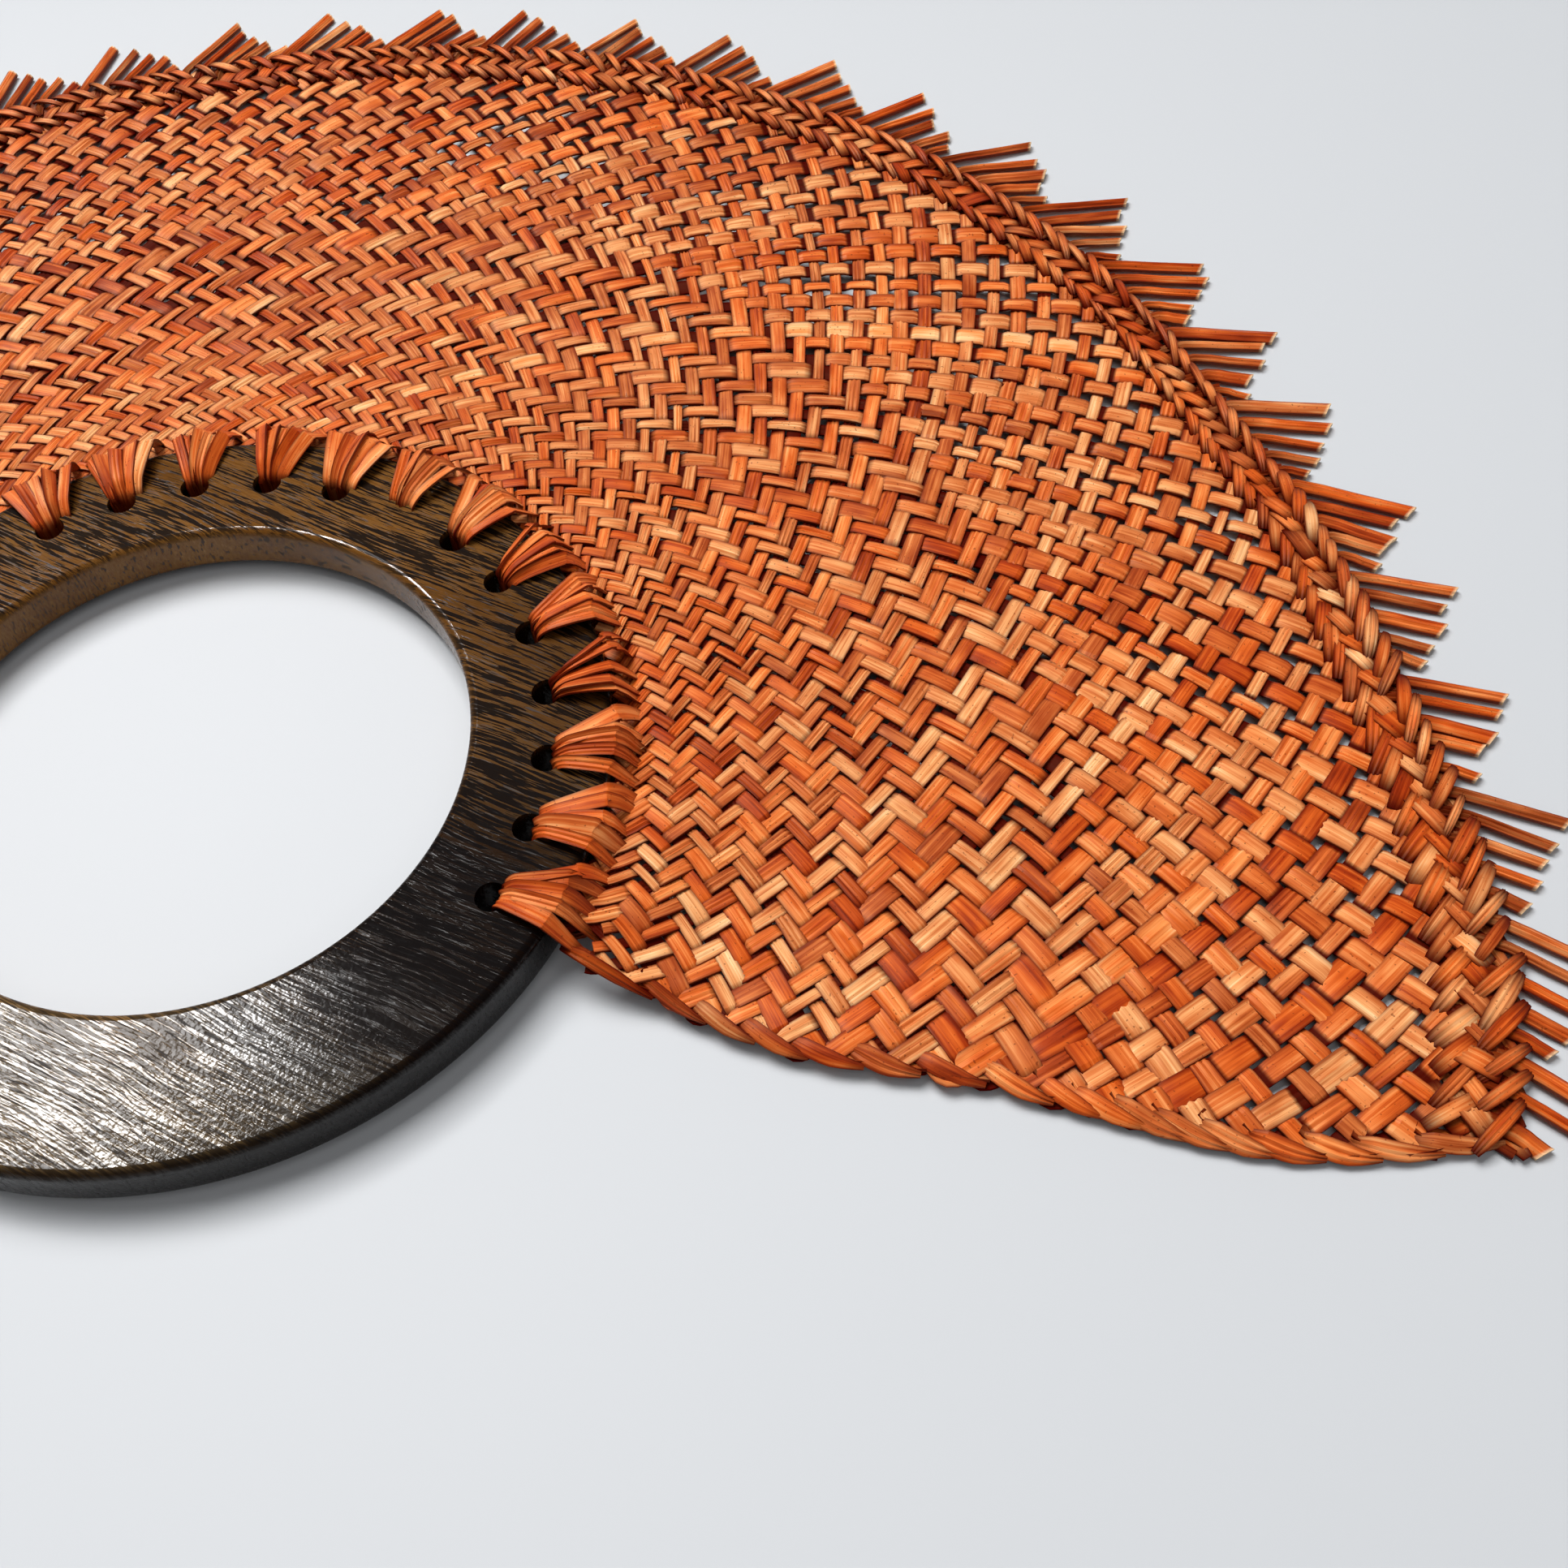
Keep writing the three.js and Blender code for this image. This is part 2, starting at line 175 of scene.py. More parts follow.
# A strip is darkened with painted shade as it dives, later in the plain rows
DARKENS_FROM, DARKENING = (-0.4, 0), 0.9

# The rows of wraps along the rim: distance in from the rim, length, width and height of the arch in
# millimetres, then the sense of their slant and their taper to both ends
RIM_ROWS = (
    (1.8, 6.8, 1.4, 0.75, 1, 0.4),
    (4.8, 5.0, 2.3, 0.45, -1.5, 0.1),
    (6.8, 6.2, 1.8, 0.6, 1, 0.2),
)
# Slant of the wraps along the rim, both in degrees
WRAP_SLANT = np.array([(-40, 38), (0, 36), (25, 27), (45, 18), (60, 18), (72, 24), (90, 38)]).T
# Coarser wraps towards the corners, between angles in degrees
COARSENING, COARSENING_ANGLES = 0.22, (50, 75)
# How single wraps differ: in fringe strips, degrees, shares of their length and millimetres
WRAP_STRAY, SLANT_SPREAD, WRAP_LENGTH_SPREAD = 0.1, 5, 0.09
WRAP_FOOT, WRAP_HEIGHT_SPREAD, WRAP_WIDTH_SPREAD = 0.25, 0.08, 0.25
WRAP_CROWN, WRAP_FOLDS, WRAP_TONE = 0.22, (-0.08, 0, 0.06), 0.47
ARCH_FULLNESS, WRAP_DARKENING = 0.6, 1.3
OUTWARD_LEAN = 0.2
BACK_WRAP_LIFT = 0.5

# The strips along a selvedge: length, hook into the weave and width in millimetres
EDGE_LENGTH, EDGE_HOOK, EDGE_WIDTH = (9.2, 0.4), (2.5, 0.2), (2.3, 0.2)
BEFORE_ROW, AFTER_ROW = 0.42, 0.58
EDGE_STRIP_FIRST = 57 * MM
FRONT_EDGE_INSET, BACK_EDGE_INSET = 0.9 * MM, 1.6 * MM
EDGE_TILT, EDGE_TILT_GAIN = radians(8), radians(30)
EDGE_CROWN, EDGE_FOLDS = 0.16 * MM, (-0.1, 0.0, 0.08)
# Along each of them: shares of its length, height in millimetres and share of its width
EDGE_SHARES, EDGE_HEIGHTS, EDGE_WIDTHS = (0, 0.28, 0.6, 1), (-0.3, 0.45, 0.2, -0.1), (0.55, 1, 0.95, 0.35)
# They are thin and dark by the ring: radii with shares of the full width, and with tones
THIN_TO_FULL = (60 * MM, 95 * MM), (0.65, 1)
DARK_TO_USUAL = (60 * MM, 110 * MM), (0.33, 0.45)

# The fringe, whose strips are numbered from the middle line, the middle strip of a tooth
TOOTH_STRIPS = 5
HALF_TOOTH = TOOTH_STRIPS // 2
FRINGE_PITCH = 17.6 * MM / TOOTH_STRIPS / RIM_RADIUS
FRINGE_LONGEST = 12.4 * MM
FRINGE_SHORTEST = 1.9 * MM
FRINGE_THICKNESS = 0.5 * MM
# Lean of the teeth in degrees, from the fourth tooth left of the middle on
LEANS = (38, 32, 36, 24, 24, 22, 28, 24, 38, 36, 38, 35, 29, 36, 24, 18, 18, 20, 22, 18)
TOOTH_LEANS = dict(enumerate(LEANS, start=-4))
USUAL_LEAN = 30
# The last strip at the right corner is cut short
CORNER_STRIP_SHARE = 0.42
# How single strip ends differ, lengths in millimetres
FRINGE_STRAY, LEAN_SPREAD, REACH_SPREAD = 0.08, 0.035, 0.35
FRINGE_WIDTHS, FRINGE_SINKS, FRINGE_TWIST = (1.35, 2.25), (-0.65, -0.45), 0.07
FRINGE_CROWN, FRINGE_FOLDS, FRINGE_TONE = 0.3 * MM, (-0.16, -0.1, 0.1), 0.44
CUT_LENGTH, CUT_SLANT = 0.5 * MM, 0.22
# The stubs of the other family behind the fringe
STUB_FOOT, STUB_LENGTHS, STUB_STRAY = 3 * MM, (2.6, 3.6), 0.1
STUB_WIDTH, STUB_CROWN, STUB_TONE = 1.1 * MM, 0.15 * MM, 0.3

# The cross section of a leaf strip
SECTION_POINTS = 10
UPPER_POINTS = 7
SHARP_LEAF_EDGE = radians(18)

# The dye: spread of its depth, and share and steps of the strips that stand out
TONE_SPREAD, TONE_LIMITS = 0.095, (0.28, 0.88)
ODD_SHARE, ODD_STEPS = 0.07, (0.2, -0.14)
FADING_SKEW = 1.4

# The studio: name, place, size in metres and power in watts of each lamp
LAMPS = (
    ("window", (-0.64, 0.27, 1.02), 0.22, 12),
    ("soft lamp", (-1.05, 0.75, 2.7), 1.8, 124),
    ("fill lamp", (1.5, -1.2, 3.6), 3.6, 40),
)
FLOOR_RADIUS, FLOOR_POINTS = 3.0, 96


def smoothstep(value, low, high):
    """0 up to the low value, 1 from the high one on and an even S between them."""
    share = np.clip((value - low) / (high - low), 0, 1)
    return share * share * (3 - 2 * share)


def fading(value, low, high):
    """1 up to the low value and 0 from the high one on."""
    return smoothstep(-value, -high, -low)


def slow_wave(rows, height, turns):
    """A random wave along a strip, with its turn in a row between the two given."""
    return height * np.sin(rows * rng.uniform(*turns) + rng.uniform(0, 2 * pi))


def place(radius, angle, height):
    """Points at a radius and a clockwise angle about the ring's middle."""
    radius, angle, height = np.broadcast_arrays(radius, angle, height)
    x = RING_CENTRE.x + radius * np.sin(angle)
    y = RING_CENTRE.y + radius * np.cos(angle)
    return np.stack([x, y, height], axis=-1)


def rim_radius(angle):
    """The round outer edge of the rim braid, drawn out at the two lower corners."""
    knot = np.clip(np.searchsorted(RIM_SWAY[:, 0], np.degrees(angle)), 1, len(RIM_SWAY) - 1)
    before, after = RIM_SWAY[knot - 1], RIM_SWAY[knot]
    share = smoothstep(np.degrees(angle), before[..., 0], after[..., 0])
    sway = before[..., 1] + (after[..., 1] - before[..., 1]) * share
    return RIM_RADIUS + sway * MM + CORNER_FLARE * smoothstep(np.abs(angle), FLARE_START, pi / 2)


def selvedge_angle(radius):
    """The lower edge of the blade: level, bulged near the ring and lifted towards the corner."""
    lift = np.clip((radius - CORNER_RADIUS + CORNER_RISE_LENGTH) / CORNER_RISE_LENGTH, 0, None)
    from_bulge = np.clip((radius - BULGE_RADIUS) / BULGE_HALF_LENGTH, -1, 1)
    bulge = SELVEDGE_BULGE * (1 + np.cos(pi * from_bulge)) / 2
    return pi / 2 + np.arcsin((BASE_DROP + bulge - CORNER_RISE * lift**2) / radius)


def weave_height(radius, angle):
    """The middle of the weave: it falls from the ring to the rim, is pulled up by the lacing and droops."""
    slope = np.interp(radius, [BLADE_INNER, RIM_RADIUS - RIM_BRAID_WIDTH], [RING_CENTRE.z, RIM_MIDDLE])
    edge = selvedge_angle(radius)
    near_edge = smoothstep(np.abs(angle), edge - DROOP_TURN, edge)
    droop = near_edge * smoothstep(radius, BLADE_INNER, FULL_DROOP_RADIUS)
    laced = LACED_RISE * fading(radius, *LACED_RADII)
    return slope + laced * (1 - droop) - EDGE_DROOP * droop * (slope - RIM_MIDDLE)


LATTICE_EDGE = float(selvedge_angle(BLADE_INNER))
STRIP_PITCH = 2 * LATTICE_EDGE / STRIPS
ROW_TURN = STRIP_PITCH / 2
FOLD_ROUND = 0.5 * ROW_TURN
TUCK_TURNS = (0.3 * ROW_TURN, 1.3 * ROW_TURN)
LAST_HOLE_ANGLE = LATTICE_EDGE - LAST_HOLE_TO_SELVEDGE / BLADE_INNER
LACING_PITCH = 2 * LAST_HOLE_ANGLE / (LACING_HOLES - 1)
RIM_END = float(selvedge_angle(CORNER_RADIUS - RIM_BRAID_WIDTH / 2))
OUTERMOST_STRIP = int(RIM_END / FRINGE_PITCH - 0.5)


def lattice_start(strip):
    """Where a strip leaves the ring, as an angle on the even lattice that the weave is worked out on."""
    return -LATTICE_EDGE + (strip + 0.5) * STRIP_PITCH


def woven_place(row, turn):
    """Radius and angle on the blade of a lattice angle in a crossing row. Rows rise towards the selvedges."""
    even = BLADE_INNER * np.exp(row * ROW_TURN / SPIRAL_SLOPE)
    last = BLADE_INNER * exp(LAST_ROW * ROW_TURN / SPIRAL_SLOPE)
    reach = np.clip((even - BLADE_INNER) / (last - BLADE_INNER), 0, 1)
    near_edge = np.clip(2 * np.abs(turn) / LATTICE_EDGE - 1, 0, 1)
    way_out = np.clip(row / LAST_ROW, 0, 1) ** ROW_RISE_SKEW
    rise = ROW_RISE * near_edge**2 * np.sin(pi * way_out)
    radius = even + rise
    # The edges' angle follows from the radius and the rim's radius from the angle, so they settle by turns
    for _ in range(3):
        angle = turn / LATTICE_EDGE * (selvedge_angle(radius) - SELVEDGE_INSET / radius)
        radius = even + rise + (rim_radius(angle) - RIM_RADIUS) * reach**2
    return radius, angle


def sign(operation, swapped=False):
    """A method of wires for an arithmetic sign."""
    if swapped:
        return lambda wire, other: wire.math(operation, other, wire)
    return lambda wire, other: wire.math(operation, wire, other)


class Wire:
    """One output of a node. Arithmetic on wires and numbers adds Math nodes to its tree."""

    def __init__(self, bench, socket):
        self.bench = bench
        self.socket = socket

    def output(self, name):
        return Wire(self.bench, self.socket.node.outputs[name])

    def math(self, operation, first, second=0.0):
        return self.bench.node("ShaderNodeMath", {0: first, 1: second}, operation=operation)

    def apply(self, operation):
        """An operation on this value alone."""
        return self.math(operation, self)

    __add__, __radd__ = sign("ADD"), sign("ADD", swapped=True)
    __sub__, __rsub__ = sign("SUBTRACT"), sign("SUBTRACT", swapped=True)
    __mul__, __rmul__ = sign("MULTIPLY"), sign("MULTIPLY", swapped=True)
    __pow__, __lt__, __gt__ = sign("POWER"), sign("LESS_THAN"), sign("GREATER_THAN")


class Bench:
    """A node tree being wired: node() adds any node and gives one of its outputs."""

    def __init__(self, tree):
        self.tree = tree
        tree.nodes.clear()

    def node(self, kind, sockets=None, output=0, **settings):
        made = self.tree.nodes.new(kind)
        for name, value in settings.items():
            setattr(made, name, value)
        for key, value in (sockets or {}).items():
            if isinstance(value, Wire):
                self.tree.links.new(value.socket, made.inputs[key])
            else:
                made.inputs[key].default_value = value
        return Wire(self, made.outputs[output] if made.outputs else None)

    def vector(self, operation, first, second, output=0):
        slot = "Scale" if operation == "SCALE" else 1
        return self.node("ShaderNodeVectorMath", {0: first, slot: second}, output, operation=operation)

    def part(self, vector, axis):
        """The X, Y or Z of a vector."""
        return self.node("ShaderNodeSeparateXYZ", {"Vector": vector}, axis)

    def ramp(self, value, low, high):
        """0 at the low value and 1 at the high one."""
        return self.node("ShaderNodeMapRange", {"Value": value, "From Min": low, "From Max": high})

    def noise(self, vector, scale, detail, rough=0.5):
        sockets = {"Vector": vector, "Scale": scale, "Detail": detail, "Roughness": rough}
        return self.node("ShaderNodeTexNoise", sockets)

    def coloured(self, value, stops):
        """A colour by a value, from stops of a place and a colour."""
        colour = self.node("ShaderNodeValToRGB", {"Fac": value})
        elements = colour.socket.node.color_ramp.elements
        while len(elements) < len(stops):
            elements.new(1.0)
        for element, (position, shade) in zip(elements, stops):
            element.position = position
            element.color = (*shade, 1.0)
        return colour

    def surface(self, colour, roughness, shine, more=None):
        sockets = {"Base Color": colour, "Roughness": roughness, "Specular IOR Level": shine}
        return self.node("ShaderNodeBsdfPrincipled", {**sockets, **(more or {})})

    def mixed(self, factor, first, second):
        return self.node("ShaderNodeMix", {0: factor, 6: first, 7: second}, 2, data_type="RGBA")


def geometry_bench(name, inputs, output):
    """A new geometry node tree with its inputs and output, and its bench."""
    tree = bpy.data.node_groups.new(name, "GeometryNodeTree")
    for label, kind in inputs.items():
        tree.interface.new_socket(label, in_out="INPUT", socket_type=f"NodeSocket{kind}")
    tree.interface.new_socket(output, in_out="OUTPUT", socket_type="NodeSocketGeometry")
    return tree, Bench(tree)


def smooth_with_edges(bench, geometry, curved, sharpest):
    """Smooth shading of the curved faces, with sharp edges where faces meet at more than an angle."""
    sockets = {"Geometry": geometry, "Shade Smooth": curved}
    geometry = bench.node("GeometryNodeSetShadeSmooth", sockets, domain="FACE")
    sharp = bench.node("GeometryNodeInputMeshEdgeAngle") > sharpest
    sockets = {"Geometry": geometry, "Selection": sharp, "Shade Smooth": False}
    return bench.node("GeometryNodeSetShadeSmooth", sockets, domain="EDGE")


def end_tree(bench, geometry, finish, output):
    """The last nodes of a tree: real geometry with its material."""
    geometry = bench.node("GeometryNodeRealizeInstances", {"Geometry": geometry})
    geometry = bench.node("GeometryNodeSetMaterial", {"Geometry": geometry, "Material": finish})
    bench.node("NodeGroupOutput", {output: geometry})


def strip_tree():
    """Sweeps a flat leaf section along drawn lines that carry each strip's width, crown, folds and facing."""
    inputs = {"Lines": "Geometry", "Leaf thickness": "Float", "Finish": "Material"}
    tree, bench = geometry_bench("leaf strips", inputs, "Strips")

    def stored(geometry, name, value, kind="FLOAT"):
        sockets = {"Geometry": geometry, "Name": name, "Value": value}
        return bench.node("GeometryNodeStoreNamedAttribute", sockets, data_type=kind, domain="POINT")

    def named(name, kind="FLOAT"):
        return bench.node("GeometryNodeInputNamedAttribute", {"Name": name}, data_type=kind)

    given = bench.node("NodeGroupInput")
    line = bench.node("GeometryNodeMeshToCurve", {"Mesh": given})
    line = stored(line, "spine", bench.node("GeometryNodeInputPosition"), "FLOAT_VECTOR")
    line = stored(line, "lead", bench.node("GeometryNodeInputTangent"), "FLOAT_VECTOR")
    line = stored(line, "run", bench.node("GeometryNodeSplineParameter", output="Length"))

    # The section's points go across the upper face from 1 to -1, and the few others back across the lower one
    section = bench.node("GeometryNodeCurvePrimitiveCircle", {"Resolution": SECTION_POINTS, "Radius": MM})
    point = bench.node("GeometryNodeInputIndex")
    upper = point < UPPER_POINTS - 0.5
    over = 1 - point * (2 / (UPPER_POINTS - 1))
    under = point - (UPPER_POINTS + 1)
    section = stored(section, "across", upper * over + (1 - upper) * under)
    section = stored(section, "upper", upper)

    sockets = {"Curve": line, "Profile Curve": section, "Fill Caps": True}
    swept = bench.node("GeometryNodeCurveToMesh", sockets)
    across, upper, lead = named("across"), named("upper"), named("lead", "FLOAT_VECTOR")
    side = bench.vector("CROSS_PRODUCT", lead, named("up", "FLOAT_VECTOR"))
    side = bench.node("ShaderNodeVectorMath", {0: side}, operation="NORMALIZE")
    facing = bench.vector("CROSS_PRODUCT", side, lead)
    ridges = named("fold") * upper * (across * (3 * pi)).apply("COSINE")
    arched = (named("crown") + ridges) * (1 - across * across)
    rise = (upper - 0.5) * given.output("Leaf thickness") + arched
    spread = bench.vector("SCALE", side, across * named("width") * 0.5)
    lifted = bench.vector("ADD", spread, bench.vector("SCALE", facing, rise))
    slanted = bench.vector("ADD", lifted, bench.vector("SCALE", lead, across * named("slant")))
    spot = bench.vector("ADD", named("spine", "FLOAT_VECTOR"), slanted)
    swept = bench.node("GeometryNodeSetPosition", {"Geometry": swept, "Position": spot})

    swept = smooth_with_edges(bench, swept, True, SHARP_LEAF_EDGE)
    for name in ("spine", "lead", "up", "width", "crown", "fold", "slant", "upper"):
        swept = bench.node("GeometryNodeRemoveAttribute", {"Geometry": swept, "Name": name})
    end_tree(bench, swept, given.output("Finish"), "Strips")
    return tree


def added(name, data):
    """A new object in the scene."""
    thing = bpy.data.objects.new(name, data)
    bpy.context.scene.collection.objects.link(thing)
    return thing


def made_by_tree(name, mesh, tree, values):
    """The plain mesh object that a node tree makes of a mesh, with the tree's named inputs set."""
    piece = added(name, mesh)
    modifier = piece.modifiers.new(tree.name, "NODES")
    modifier.node_group = tree
    for item in tree.interface.items_tree:
        if item.in_out == "INPUT" and item.name in values:
            modifier[item.identifier] = values[item.name]
    depsgraph = bpy.context.evaluated_depsgraph_get()
    finished = bpy.data.meshes.new_from_object(piece.evaluated_get(depsgraph), depsgraph=depsgraph)
    finished.name = name
    piece.modifiers.clear()
    piece.data = finished
    return piece


class Strips:
    """Centre lines of leaf strips, gathered to be swept into one piece.

    The fold makes a ridge along the middle, or a groove where it is negative. The slant draws an end out to
    one side. The cut is 1 at a bare cut end, and its painted shade is 1 where a strip lies in shade: as it
    dives, by a hole, under wraps or at a tucked end. Each strip's dye has faded by a random share, up to the
    limit given.
    """

    def __init__(self):
        names = ("width", "tone", "crown", "fold", "slant", "cut", "recess", "faded")
        self.values = {name: [] for name in names}
        self.spines = []
        self.ups = []

    def add(self, spine, up=(0, 0, 1), most_faded=1, **given):
        """A strip along a spine. A value is one number or one for each of its points, and 0 if not given."""
        given["faded"] = most_faded * rng.random() ** FADING_SKEW
        self.spines.append(spine)
        for name, values in self.values.items():
            values.append(np.broadcast_to(given.get(name, 0), len(spine)))
        self.ups.append(np.broadcast_to(up, (len(spine), 3)))

    def lines(self, name):
        """The centre lines as a mesh of edges, with the strips' values on its points."""
        mesh = bpy.data.meshes.new(name)
        points = np.concatenate(self.spines)
        ends = np.cumsum([len(spine) for spine in self.spines])
        starts = np.setdiff1d(np.arange(len(points)), ends - 1)
        mesh.vertices.add(len(points))
        mesh.vertices.foreach_set("co", points.astype(np.float32).ravel())
        mesh.edges.add(len(starts))
        mesh.edges.foreach_set("vertices", np.stack([starts, starts + 1], axis=1).astype(np.int32).ravel())
        for key, value in self.values.items():
            layer = mesh.attributes.new(key, "FLOAT", "POINT")
            layer.data.foreach_set("value", np.concatenate(value).astype(np.float32))
        layer = mesh.attributes.new("up", "FLOAT_VECTOR", "POINT")
        layer.data.foreach_set("vector", np.concatenate(self.ups).astype(np.float32).ravel())
        return mesh

    def sweep(self, name, thickness=LEAF_THICKNESS):
        values = {"Leaf thickness": thickness, "Finish": LEAF}
        piece = made_by_tree(name, self.lines(name), STRIP_TREE, values)
        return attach(piece, "root")


def curve_through(stations, steps):
    """A smooth line through stations, rows of numbers, with a count of steps between two of them."""
    stations = np.asarray(stations, float)
    padded = np.concatenate([stations[:1], stations, stations[-1:]])
    slopes = (padded[2:] - padded[:-2]) / 2
    share = np.arange(steps)[:, None] / steps
    rise = smoothstep(share, 0, 1)
    bend = share * (1 - share)
    parts = []
    for here, there, leave, arrive in zip(stations[:-1], stations[1:], slopes[:-1], slopes[1:]):
        parts.append(here + (there - here) * rise + bend * ((1 - share) * leave - share * arrive))
    return np.concatenate([*parts, stations[-1:]])


def leaf_tone(middle):
    """Random dye depth of a strip: 0 is deep red brown, 1 is pale straw. A few strips stand out."""
    odd = rng.choice(ODD_STEPS) if rng.random() < ODD_SHARE else 0
    return float(np.clip(rng.normal(middle + odd, TONE_SPREAD), *TONE_LIMITS))


def top_family(row):
    """1 where the clockwise family lies on top in a crossing row, and -1 where the other one does."""
    if row >= FIRST_PLAIN_ROW:
        return 1 if row % PLAIN_REPEAT == 0 else -1
    return 1 if row % TWILL_REPEAT >= TWILL_REPEAT // 2 else -1


def weave_width(radius, angle, clockwise):
    """Width of a strip, by the share in which it runs with the clockwise family."""
    pitch = STRIP_PITCH * radius / hypot(1, SPIRAL_SLOPE) * selvedge_angle(radius) / LATTICE_EDGE
    even = np.minimum(EVEN_SHARE * pitch, EVEN_MOST)
    wide = np.minimum(WIDE_SHARE * pitch, WIDE_MOST)
    gained = smoothstep(angle, *GAIN_ANGLES_RIGHT) + smoothstep(-angle, *GAIN_ANGLES_LEFT)
    narrow = np.minimum(NARROW_SHARE * pitch, (NARROW_MOST_MM + NARROW_GAIN_MM * gained) * MM)
    width = narrow + (wide - narrow) * clockwise
    return width + (even - width) * smoothstep(np.abs(angle), *CORNER_ANGLES)


def weave_strip(strip, family):
    """Centre line, widths and facing of one strip from the ring to the rim, folded round at a selvedge."""
    beside_edge = LATTICE_EDGE - abs(lattice_start(strip)) < 2 * STRIP_PITCH
    first = FIRST_ROW_BESIDE_EDGE if beside_edge else FIRST_ROW
    crossings = np.arange(first, LAST_ROW + 1)
    folded = np.abs(lattice_start(strip) + family * crossings * ROW_TURN) > LATTICE_EDGE
    lifts = np.where(folded, -family, family) * np.array([top_family(row) for row in crossings])
    change = np.diff(lifts)[:, None]
    plain = crossings[:-1, None] >= FIRST_PLAIN_ROW
    steps = np.where(plain, PLAIN_STEPS, ARCHED_STEPS)
    climb = np.where(plain, PLAIN_CLIMB, ARCHED_CLIMB)
    rows = np.append(crossings[:-1, None] + steps - LATE_DIVE * np.sign(change) * (steps > 0), LAST_ROW)
    lift = np.append(lifts[:-1, None] + change * climb, lifts[-1])

    unfolded = lattice_start(strip) + family * rows * ROW_TURN
    from_edge = LATTICE_EDGE - np.abs(unfolded)
    turn = np.sign(unfolded) * (LATTICE_EDGE - np.hypot(from_edge, FOLD_ROUND))
    tucked = fading(np.abs(from_edge), *TUCK_TURNS)
    radius, angle = woven_place(rows, turn + slow_wave(rows, WANDER_SHARE * STRIP_PITCH, WANDER_TURNS))
    highest = np.interp(rows, TWILL_TO_PLAIN, [CROSSING_LIFT, PLAIN_LIFT])
    spine = place(radius, angle, weave_height(radius, angle) + highest * lift - TUCK_DEPTH * tucked)

    clockwise = 0.5 + 0.5 * family * np.clip(from_edge / (2 * ROW_TURN), -1, 1)
    swell = slow_wave(rows, SWELL, SWELL_TURNS)
    own_width = np.clip(rng.normal(*OWN_WIDTH), *OWN_WIDTH_LIMITS)
    width = weave_width(radius, angle, clockwise) * (own_width + swell) * (BETWEEN_WIDTH + LIFTED_GAIN * lift)

    roll = slow_wave(rows, ROLL, ROLL_TURNS)
    heading = angle + np.where(from_edge < 0, -family, family) * pi / 4
    up = np.stack([np.cos(heading) * roll, -np.sin(heading) * roll, np.ones_like(roll)], axis=1)
    # Painted shade, darkest where the strip dives under its crossing strip
    darkens = np.interp(rows, TWILL_TO_PLAIN, DARKENS_FROM)
    recess = smoothstep(-lift, darkens, darkens + DARKENING)
    return {"spine": spine, "width": width, "up": up, "recess": recess}


def weave():
    """The woven blade, as four stretches of strips."""
    stretches = [Strips() for _ in STRETCHES]
    for family in (1, -1):
        for strip in range(STRIPS):
            fold = rng.choice(WEAVE_FOLDS) * MM
            part = stretches[strip * len(stretches) // STRIPS]
            part.add(**weave_strip(strip, family), tone=leaf_tone(WEAVE_TONE), crown=WEAVE_CROWN, fold=fold)
    for stretch, part in zip(STRETCHES, stretches):
        piece = part.sweep(f"weave_{stretch}")
        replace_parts(piece, "woven_blade")


def lacing_bundle(index):
    """Strips through one hole, spread over the ring's two faces and creased at its edge into the weave."""
    strips = Strips()
    hole = -LAST_HOLE_ANGLE + index * LACING_PITCH
    middle = lattice_start(STRIPS_PER_BUNDLE * index + STRIPS_PER_BUNDLE // 2)
    outward = np.array([sin(hole), cos(hole), 0])
    clockwise = np.array([cos(hole), -sin(hole), 0])
    radius, share, height, width = curve_through(RIBBON_STATIONS, 4).T
    on_face = smoothstep(radius, *ONTO_FACE) * fading(radius, *OFF_FACE)
    out_of_hole = np.maximum(smoothstep(height, *HOLE_MOUTH), smoothstep(radius, *FLAT_ON_FACE))[:, None]
    past_edge = smoothstep(radius, *CREASE)[:, None]
    # Painted shade where the ribbons go down beside the hole and pass under the weave
    recess = 0.6 * smoothstep(radius, *UNDER_WEAVE) + 0.7 * fading(radius, *BESIDE_HOLE)
    for side in (1, -1):
        raised = 1 if side > 0 else BACK_RIBBON_LIFT
        over_face = np.where(height > 0, height * (1 if side > 0 else BACK_RIBBON_HEIGHT), height)
        limit = LATTICE_EDGE - (FRONT_MARGIN if side > 0 else BACK_MARGIN) * STRIP_PITCH
        for ribbon in rng.permutation(LACING_RIBBONS):
            across = 2 * ribbon / (LACING_RIBBONS - 1) - 1 + rng.normal(0, RIBBON_STRAY)
            turn = np.clip(middle + 2 * across * STRIP_PITCH, -limit, limit)
            _, weave_angle = woven_place(1.5, turn)
            bow = (RIBBON_BOW * across + rng.normal(0, BOW_SPREAD)) * np.sin(pi * share)
            angle = hole + (share + bow) * (weave_angle - hole)
            loose = (RIBBON_HUMP * (1 - across**2) + rng.uniform(0, LOOSEST_RIBBON)) * raised * on_face
            level = RING_CENTRE.z + side * (RING_FACE + (over_face + loose) * MM)
            roll = (RIBBON_FAN * across + rng.choice([-1, 1]) * rng.uniform(*RIBBON_ROLLS)) * raised
            upright = clockwise * sin(roll) + np.array([0, 0, side * cos(roll)])
            strips.add(
                place((radius + rng.normal(0, RIBBON_SHIFT) * on_face) * MM, angle, level),
                upright * out_of_hole - outward * (1 - out_of_hole) + CREASE_LEAN * outward * past_edge,
                width=width * rng.normal(*RIBBON_WIDTH) * MM,
                tone=leaf_tone(RIBBON_TONE),
                most_faded=RIBBON_MOST_FADED,
                crown=rng.uniform(*RIBBON_CROWNS) * raised * MM,
                fold=rng.choice(RIBBON_FOLDS) * raised * MM,
                recess=recess,
            )
    piece = strips.sweep(f"lacing_strips_{index + 1:02d}", LACING_THICKNESS)
    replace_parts(piece, f"lacing_bundle_{index + 1:02d}")


